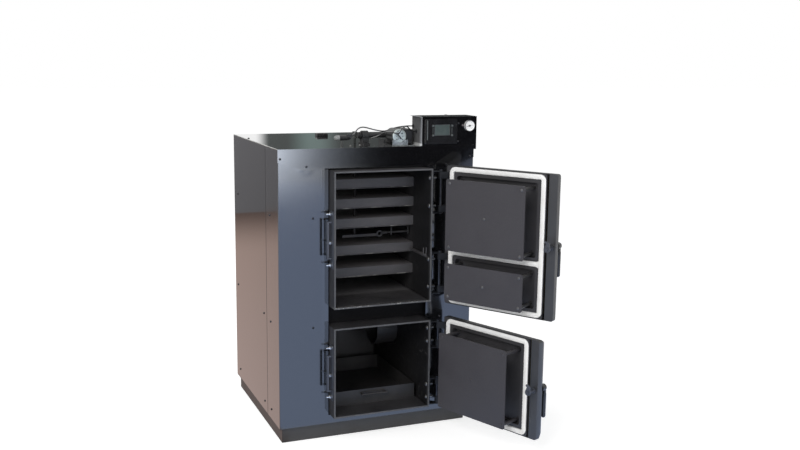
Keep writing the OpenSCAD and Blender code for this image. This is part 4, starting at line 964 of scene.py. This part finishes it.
def build_shelf_welds():
    """A bead up each side of every shelf's face, and one along its lower edge."""
    y = SHELF_Y - 0.0004
    side_x = NECK_IN - 0.0006
    edge_x = NECK_IN - 0.004
    upright, level = [], []
    for top in SHELF_TOPS:
        low, high = top - SHELF_H + 0.001, top - 0.001
        for x in (-side_x, side_x):
            upright.append(bead(Vector((x, y, low)), Vector((x, y, high)), 0.0022))
        level.append(bead(Vector((-edge_x, y, low)), Vector((edge_x, y, low)), 0.0021, 0.0044))
    piece("shelf_side_welds", joined(upright), "shelf", smooth=60)
    piece("shelf_edge_welds", joined(level), "weld", smooth=60)


def build_body():
    eased("front_plate", "deep", 0.0008)
    eased("upper_chamber", "plate", 0.0012)
    eased("lower_chamber", "plate", 0.0012)
    eased("exchanger_shelves", "shelf", 0.002)
    eased("burner_housing", "door_out", 0.001)
    dress("water_jacket", "plate")
    dress("baffle_rails", "shelf")
    dress("flue_collar", "plate")
    dress("pipe_sockets", "steel")
    dress("insulation", "wool")
    dress("burner_body", "sooty")
    dress("ash_pan", "sooty")
    build_shelf_welds()


def build_fittings():
    """Brackets and pins, and the necks' bolts: zinc at the catch, plain at the hinge."""
    eased("hinge_brackets", "hinge", 0.0008)
    dress("hinge_pins", "black_zinc")
    eased("catch_brackets", "bracket", 0.0008)
    for side, name, material in ((-1, "catch_bolts", "zinc"), (1, "hinge_bolts", "steel")):
        bm = welded("neck_bolts")
        bmesh.ops.delete(bm, geom=[v for v in bm.verts if v.co.x * side < 0], context="VERTS")
        round_edges(bm, 0.0005)
        piece(name, bm, material, ("neck_bolts",))


# Control box
DIAL_SWEEP = 270
TICKS = 24
TICKS_TO_LONG = 4
TICK_OUTER = 0.0172
LONG_TICK = (0.0138, 0.00042)
SHORT_TICK = (0.015, 0.00024)
FRAME_W = 0.0022
RAIL_W = 0.0026
RAIL_SHORTER = 0.007
# The grey strip that paints a highlight beside the display: x, lowest and highest z, width
HIGHLIGHT_STRIP = (0.197, 1.163, 1.239, 0.0046)
MARK_R = 0.0019


def plate_strip(x, z0, z1, width, rise):
    """An upright strip that stands a little proud of the display panel."""
    return box((x - width / 2, PANEL_FRONT - rise, z0), (x + width / 2, PANEL_FRONT + 0.0004, z1), 0.0004)


def build_dial():
    """The thermometer's scale, long and short ticks round three quarters of it, and its dark rim."""
    face = DIAL_FACE - 0.0001
    to_dial = Matrix.Translation(Vector((DIAL_X, 0, DIAL_Z)))
    parts = []
    for k in range(TICKS + 1):
        inner, half = SHORT_TICK if k % TICKS_TO_LONG else LONG_TICK
        tick = box((-half, face - 0.0002, inner), (half, face + 0.0002, TICK_OUTER))
        a = math.radians(DIAL_SWEEP * (k / TICKS - 0.5))
        bmesh.ops.transform(tick, matrix=to_dial @ Matrix.Rotation(a, 4, "Y"), verts=tick.verts[:])
        parts.append(tick)
    piece("dial_scale", joined(parts), "dark_mark")
    collar = [(0.0201, 0.0), (0.0203, 0.0006), (0.0212, 0.0009), (0.0216, 0.0004), (0.0216, -0.0028),
              (0.0201, -0.0028)]
    rim = lathe(collar, (DIAL_X, FRONT - 0.006, DIAL_Z), (0, -1, 0), 48, ring=True)
    piece("dial_rim", rim, "black_zinc", smooth=40)


def build_display():
    """A thin frame round the display, a rail behind each pair of buttons, and a grey strip that paints a
    highlight on the panel.
    """
    x0, x1 = WINDOW_X
    z0, z1 = WINDOW_Z
    w = FRAME_W
    sides = ((x0 - w, z0 - w, x1 + w, z0), (x0 - w, z1, x1 + w, z1 + w), (x0 - w, z0, x0, z1),
             (x1, z0, x1 + w, z1))
    parts = [box((xa, PANEL_FRONT - 0.0005, za), (xb, PANEL_FRONT + 0.0002, zb), 0.0002)
             for xa, za, xb, zb in sides]
    piece("display_frame", joined(parts), "button")
    low, high = BUTTON_Z[0] + RAIL_SHORTER, BUTTON_Z[1] - RAIL_SHORTER
    rails = [plate_strip(x, low, high, RAIL_W, 0.0004) for x in BUTTON_X]
    piece("button_rails", joined(rails), "button")
    # A grey strip beside the display: a painted highlight
    piece("panel_highlight_strip", plate_strip(*HIGHLIGHT_STRIP, 0.0007), "strip")


def build_button(node, sides, spin):
    """A button with a small generic sign: a disc of so many sides, turned by spin."""
    dress(node, "button")
    lo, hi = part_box(node)
    middle = (Vector(lo) + Vector(hi)) / 2
    sign = disc(MARK_R, 0.00025, (0, 0, 0), (0, 0, 1), sides, 0.0002)
    upright = Matrix.Rotation(math.pi / 2, 4, "X") @ Matrix.Rotation(math.pi / 2 + spin, 4, "Z")
    bmesh.ops.transform(sign, matrix=Matrix.Translation((middle.x, lo[1], middle.z)) @ upright,
                        verts=sign.verts[:])
    piece(node + "_mark", sign, "mark", body=body_of(node))


def build_control():
    eased("control_box", "paint", 0.0008)
    eased("control_side_plate", "side_plate", 0.0005)
    eased("display_panel", "gloss_black", 0.0012)
    dress("cable_grommets", "rubber")
    dress("display_window", "screen")
    dress("gauge_case", "dial")
    dress("gauge_needle", "dark_mark")
    dress("indicator_lamp", "lens")
    build_dial()
    build_display()
    build_button("button_up", 3, 0.0)
    build_button("button_down", 3, math.pi)
    build_button("button_enter", 12, 0.0)
    build_button("button_back", 4, math.pi / 4)


# Cleaning drive: places in millimetres from the casing's middle, back from its front, up from its top
SENSOR_LEAD = (
    (-64, 139, 35), (-59, 139, 35), (-50, 138, 45), (-42, 136, 57), (-32, 132, 65), (-18, 128, 67),
    (-2, 124, 64), (16, 121, 59), (34, 119, 55), (52, 117, 52), (68, 116, 52), (84, 114, 56),
    (100, 110, 62), (118, 104, 67), (136, 98, 70), (153, 92, 72), (165, 88, 72), (175, 88, 72))
SWITCH_LEAD = (
    (2.6, 125.5, 23), (9, 125.5, 23), (20, 120, 27), (34, 112, 33), (46, 104, 40), (54, 90, 47),
    (57, 70, 51), (58, 48, 53), (61, 28, 54), (68, 15, 52), (78, 10, 46), (88, 10, 37), (94, 13, 30),
    (95, 16, 29), (95, 20.6, 29))
MOTOR_LEAD = (
    (84, 20.6, 47), (84, 15, 47), (86, 9, 53), (92, 8, 63), (102, 12, 71), (116, 22, 75), (130, 34, 72),
    (142, 44, 64), (154, 51, 57), (165, 54, 54), (175, 54, 54))
MOTOR_FRONT = (92, 21, 38)
GEARBOX = ((88.2, 101.8, 3.2), (149.8, 167.8, 49.8))
GEARBOX_RIB = ((87.8, 137.8, 7.2), (120, 140.8, 50.2))
GEARBOX_BOSS = (88.4, 139, 34)
WIRING_BOX = ((124.2, 62.2, 3.2), (163.8, 167.6, 57.6))
WIRING_LID = ((123.6, 61.6, 57.2), (163.9, 167.9, 60.9))
LEAD_R = 0.0025
SCREWS_R = 0.0165
VENTS_R = 0.0125


def on_top(place):
    x, y, z = place
    return Vector((x / 1000, FRONT + y / 1000, TOP + z / 1000))


def lead(route):
    return swept(smooth_line([on_top(place) for place in route], 0.004), circle(LEAD_R, 14))


def round_motor(radius, count, start, back=0.0):
    """Places round the middle of the motor's front, and so far back from it."""
    angles = [math.radians(start + 360 / count * k) for k in range(count)]
    return [on_top(MOTOR_FRONT) + Vector((radius * math.cos(a), back, radius * math.sin(a))) for a in angles]


def build_motor():
    """A can with rolled ends and a cap, and a dark gearbox with its wiring box."""
    can = [(0.0, 0.0002), (0.005, 0.0002), (0.0054, 0.0008), (0.009, 0.0008), (0.0094, 0.0003),
           (0.0224, 0.0003), (0.023, 0.0011), (0.0262, 0.0013), (0.0278, 0.0028), (0.0278, 0.0066),
           (0.0272, 0.0072), (0.0272, 0.0736), (0.0278, 0.0742), (0.0278, 0.0808), (0.0, 0.0808)]
    motor = lathe(can, on_top(MOTOR_FRONT), (0, 1, 0), 56)
    piece("geared_motor", motor, "motor", ("gear_motor",), 40)
    boss = [(0.013, 0.0), (0.013, 0.0044), (0.0122, 0.005), (0.0064, 0.005), (0.0064, 0.0)]
    parts = [box(on_top(lo), on_top(hi), bevel, segments) for (lo, hi), bevel, segments in (
        (GEARBOX, 0.0022, 3), (WIRING_BOX, 0.0022, 3), (WIRING_LID, 0.0012, 3), (GEARBOX_RIB, 0.0005, 2))]
    parts.append(lathe(boss, on_top(GEARBOX_BOSS), (-1, 0, 0), 36))
    piece("gearbox_case", joined(parts), "cast", ("gear_motor",), 40)
    screws = [head(spot, (0, -1, 0), 0.0024, 0.0014) for spot in round_motor(SCREWS_R, 4, 45, 0.0004)]
    piece("motor_screws", joined(screws), "black_zinc", smooth=50)
    # Black discs for the vent holes: painted shade standing in for their dark insides
    vents = [disc(0.0019, 0.00015, spot, (0, -1, 0), 14) for spot in round_motor(VENTS_R, 6, 0)]
    piece("motor_vents", joined(vents), "black")


def build_drive():
    sheaths = joined([lead(route) for route in (SENSOR_LEAD, SWITCH_LEAD, MOTOR_LEAD)])
    piece("drive_lead_sheaths", sheaths, "gloss_black", ("drive_leads",))
    eased("motor_bracket", "motor_plate", 0.0006)
    build_motor()
    eased("shaft_bearing", "cast", 0.0008)
    dress("position_sensor", "sensor")
    eased("sensor_cover", "black", 0.001)
    dress("cleaning_shaft", "cast")
    dress("cleaning_rake", "rake")


# Light and floor
WHITE = (1.0, 1.0, 1.0)
DARK_CARD = (0.01, 0.01, 0.013)
PATCH_BLUE = (0.6, 0.7, 0.95)
GLOW_BLUE = (8.0, 8.8, 10.2)
HALL_GREY = (0.035, 0.036, 0.038)
WALL_GREY = (0.182, 0.178, 0.187)
FAR_FLOOR = (0.12, 0.085, 0.075)
HARD_EDGES = (0.01, 0.01, 0.01, 0.01)


def area_light(name, place, target, size, power, colour=WHITE, mirrored=True):
    data = bpy.data.lights.new(name, "AREA")
    data.shape = "RECTANGLE"
    data.size, data.size_y = size
    data.energy = power
    data.color = colour
    obj = placed(name, data, place)
    obj.rotation_euler = (Vector(target) - Vector(place)).to_track_quat("-Z", "Y").to_euler()
    obj.visible_camera = False
    obj.visible_glossy = mirrored


def staged(name, material, centre, half=1.0):
    """A flat square of the stage, with half its side given."""
    mesh = bpy.data.meshes.new(name)
    corners = [(-half, -half, 0), (half, -half, 0), (half, half, 0), (-half, half, 0)]
    mesh.from_pydata(corners, [], [(0, 1, 2, 3)])
    mesh.materials.append(material)
    obj = placed(name, mesh, centre)
    return obj


def card(name, centre, half, fades, colour, right=None, flat=False, spin=0.0, far=1.0, steep=1.0):
    """A studio card that only gloss shows, with half its sides given.

    fades are the soft widths of its left, right, low and high edge, in halves of its size. Its colour may
    run to another on the right, far is how bright its high edge is beside its low one, and steep makes
    the right edge fall off faster.
    """
    s = Shader(name)
    u, v, w = s.axes()
    tint = s.blend(s.ranged(u, -1.0, 1.0), colour, right or colour)
    glow = s.add("Emission", {"Color": tint, "Strength": s.ranged(v, -1.0, 1.0, 1.0, far)})[0]
    clear = s.add("BsdfTransparent", {})[0]
    soft = [s.ranged(axis, edge, edge * (1.0 - wide), smooth=True)
            for axis, edge, wide in zip((u, u, v, v), (-1.0, 1.0, -1.0, 1.0), fades)]
    if steep > 1.0:
        soft[1] = s.maths("POWER", s.ranged(u, 1.0, 1.0 - fades[1]), steep)
    mix = s.add("MixShader", {0: s.times(*soft), 1: clear, 2: glow})[0]
    obj = staged(name, s.shown(mix), centre)
    obj.scale = (*half, 1)
    obj.rotation_euler = (0, 0, spin) if flat else (math.pi / 2, -spin, 0)
    for rays in ("camera", "diffuse", "transmission", "shadow"):
        setattr(obj, "visible_" + rays, False)


def make_cards():
    """What the gloss mirrors: blue-white in front, a warm floor on the left, and a dim hall behind."""
    card("front_floor", (-0.5, -4.32, 0.004), (3.0, 3.88), (0.1, 0.2, 0.1, 0.02), (1.36, 1.72, 2.42),
         (0.83, 1.02, 1.52), flat=True, far=0.75)
    card("front_dark", (3.8, -4.72, 2.25), (3.2, 1.72), (0.16, 0.05, 0.015, 0.05), DARK_CARD)
    card("front_shade", (2.9, -4.7, 0.42), (1.7, 0.2), (0.3, 0.05, 0.3, 0.02), DARK_CARD)
    card("front_glow", (1.075, -4.62, 0.8), (0.825, 0.6), (0.36, 1.636, 0.867, 0.4), GLOW_BLUE, steep=3.4)
    card("front_patch", (2.97, -4.55, 0.55), (0.62, 0.3), (0.25, 0.1, 0.2, 0.004), PATCH_BLUE, spin=0.52)
    card("left_far", (-2.2, 2.7, 0.002), (3.3, 1.85), HARD_EDGES, FAR_FLOOR, flat=True, spin=math.pi / 2)
    card("left_floor", (-2.2, 2.5, 0.004), (3.1, 1.85), (0.01, 0.77, 0.01, 0.05), (0.61, 0.47, 0.43),
         (0.53, 0.385, 0.33), flat=True, spin=math.pi / 2)
    card("left_wall", (-3.9, 5.2, 0.95), (3.1, 0.97), (0.05, 0.05, 0.02, 0.1), WALL_GREY, far=1.45)
    card("back_hall", (2.36, 4.6, 1.7), (1.64, 0.75), (0.085, 0.4, 0.1, 0.1), (0.09, 0.098, 0.096),
         (0.02, 0.021, 0.023))
    card("back_dark", (4.2, 4.7, 1.7), (3.2, 0.75), (0.05, 0.05, 0.1, 0.1), HALL_GREY)
    card("back_window", (1.24, 4.5, 1.6), (0.27, 0.65), (0.9, 0.9, 0.3, 0.3), (0.17, 0.225, 0.212),
         (0.17, 0.21, 0.205))


def make_world():
    """White where it is seen or mirrored, and a plain even light on matt surfaces."""
    world = bpy.data.worlds.new("studio")
    SCENE.world = world
    world.use_nodes = True
    sky = Nodes(world.node_tree)
    strength = sky.ranged(sky.seen(), 0.0, 1.0, WORLD_LIGHT, 1.0)
    light = sky.add("Background", {"Color": WHITE, "Strength": strength})[0]
    sky.add("OutputWorld", {0: light})


def make_floor():
    """A pale floor that keeps the object's shadow and reads white where it is lit."""
    s = Shader("floor")
    base = s.mottled(s.noise(3.0, 3, 0.5), (0.8, 0.8, 0.8), (0.83, 0.83, 0.83))
    pale = s.finish(base, 0.9, gloss=0.0, Emission_Color=WHITE,
                    Emission_Strength=s.times(s.seen(), FLOOR_GLOW))
    staged("floor", pale, (0.0, 0.0, -0.0005), 40.0)


def make_lights():
    area_light("key", (-3.2, -3.6, 3.4), (0.0, -0.2, 0.7), (2.6, 2.2), 125, (1.0, 0.99, 0.97))
    area_light("fill", (2.6, -4.4, 2.2), (0.1, -0.3, 0.7), (2.4, 2.0), 30, (0.96, 0.98, 1.0), False)
    area_light("front", (0.35, -4.6, 0.95), (-0.35, -0.36, 0.9), (1.5, 1.5), 24, (0.9, 0.95, 1.0), False)
    area_light("inner_fill", (0.0, SHELF_Y + 0.002, 0.8), (0.0, 0.5, 0.8), (0.37, 0.5), 0.46,
               mirrored=False)
    area_light("back_top", (-2.4, 4.2, 2.6), (0.0, 0.2, 1.0), (2.0, 1.2), 40, mirrored=False)


make_camera()
make_world()
make_floor()
make_cards()
make_lights()
build_casing()
build_doors()
build_body()
build_fittings()
build_control()
build_drive()
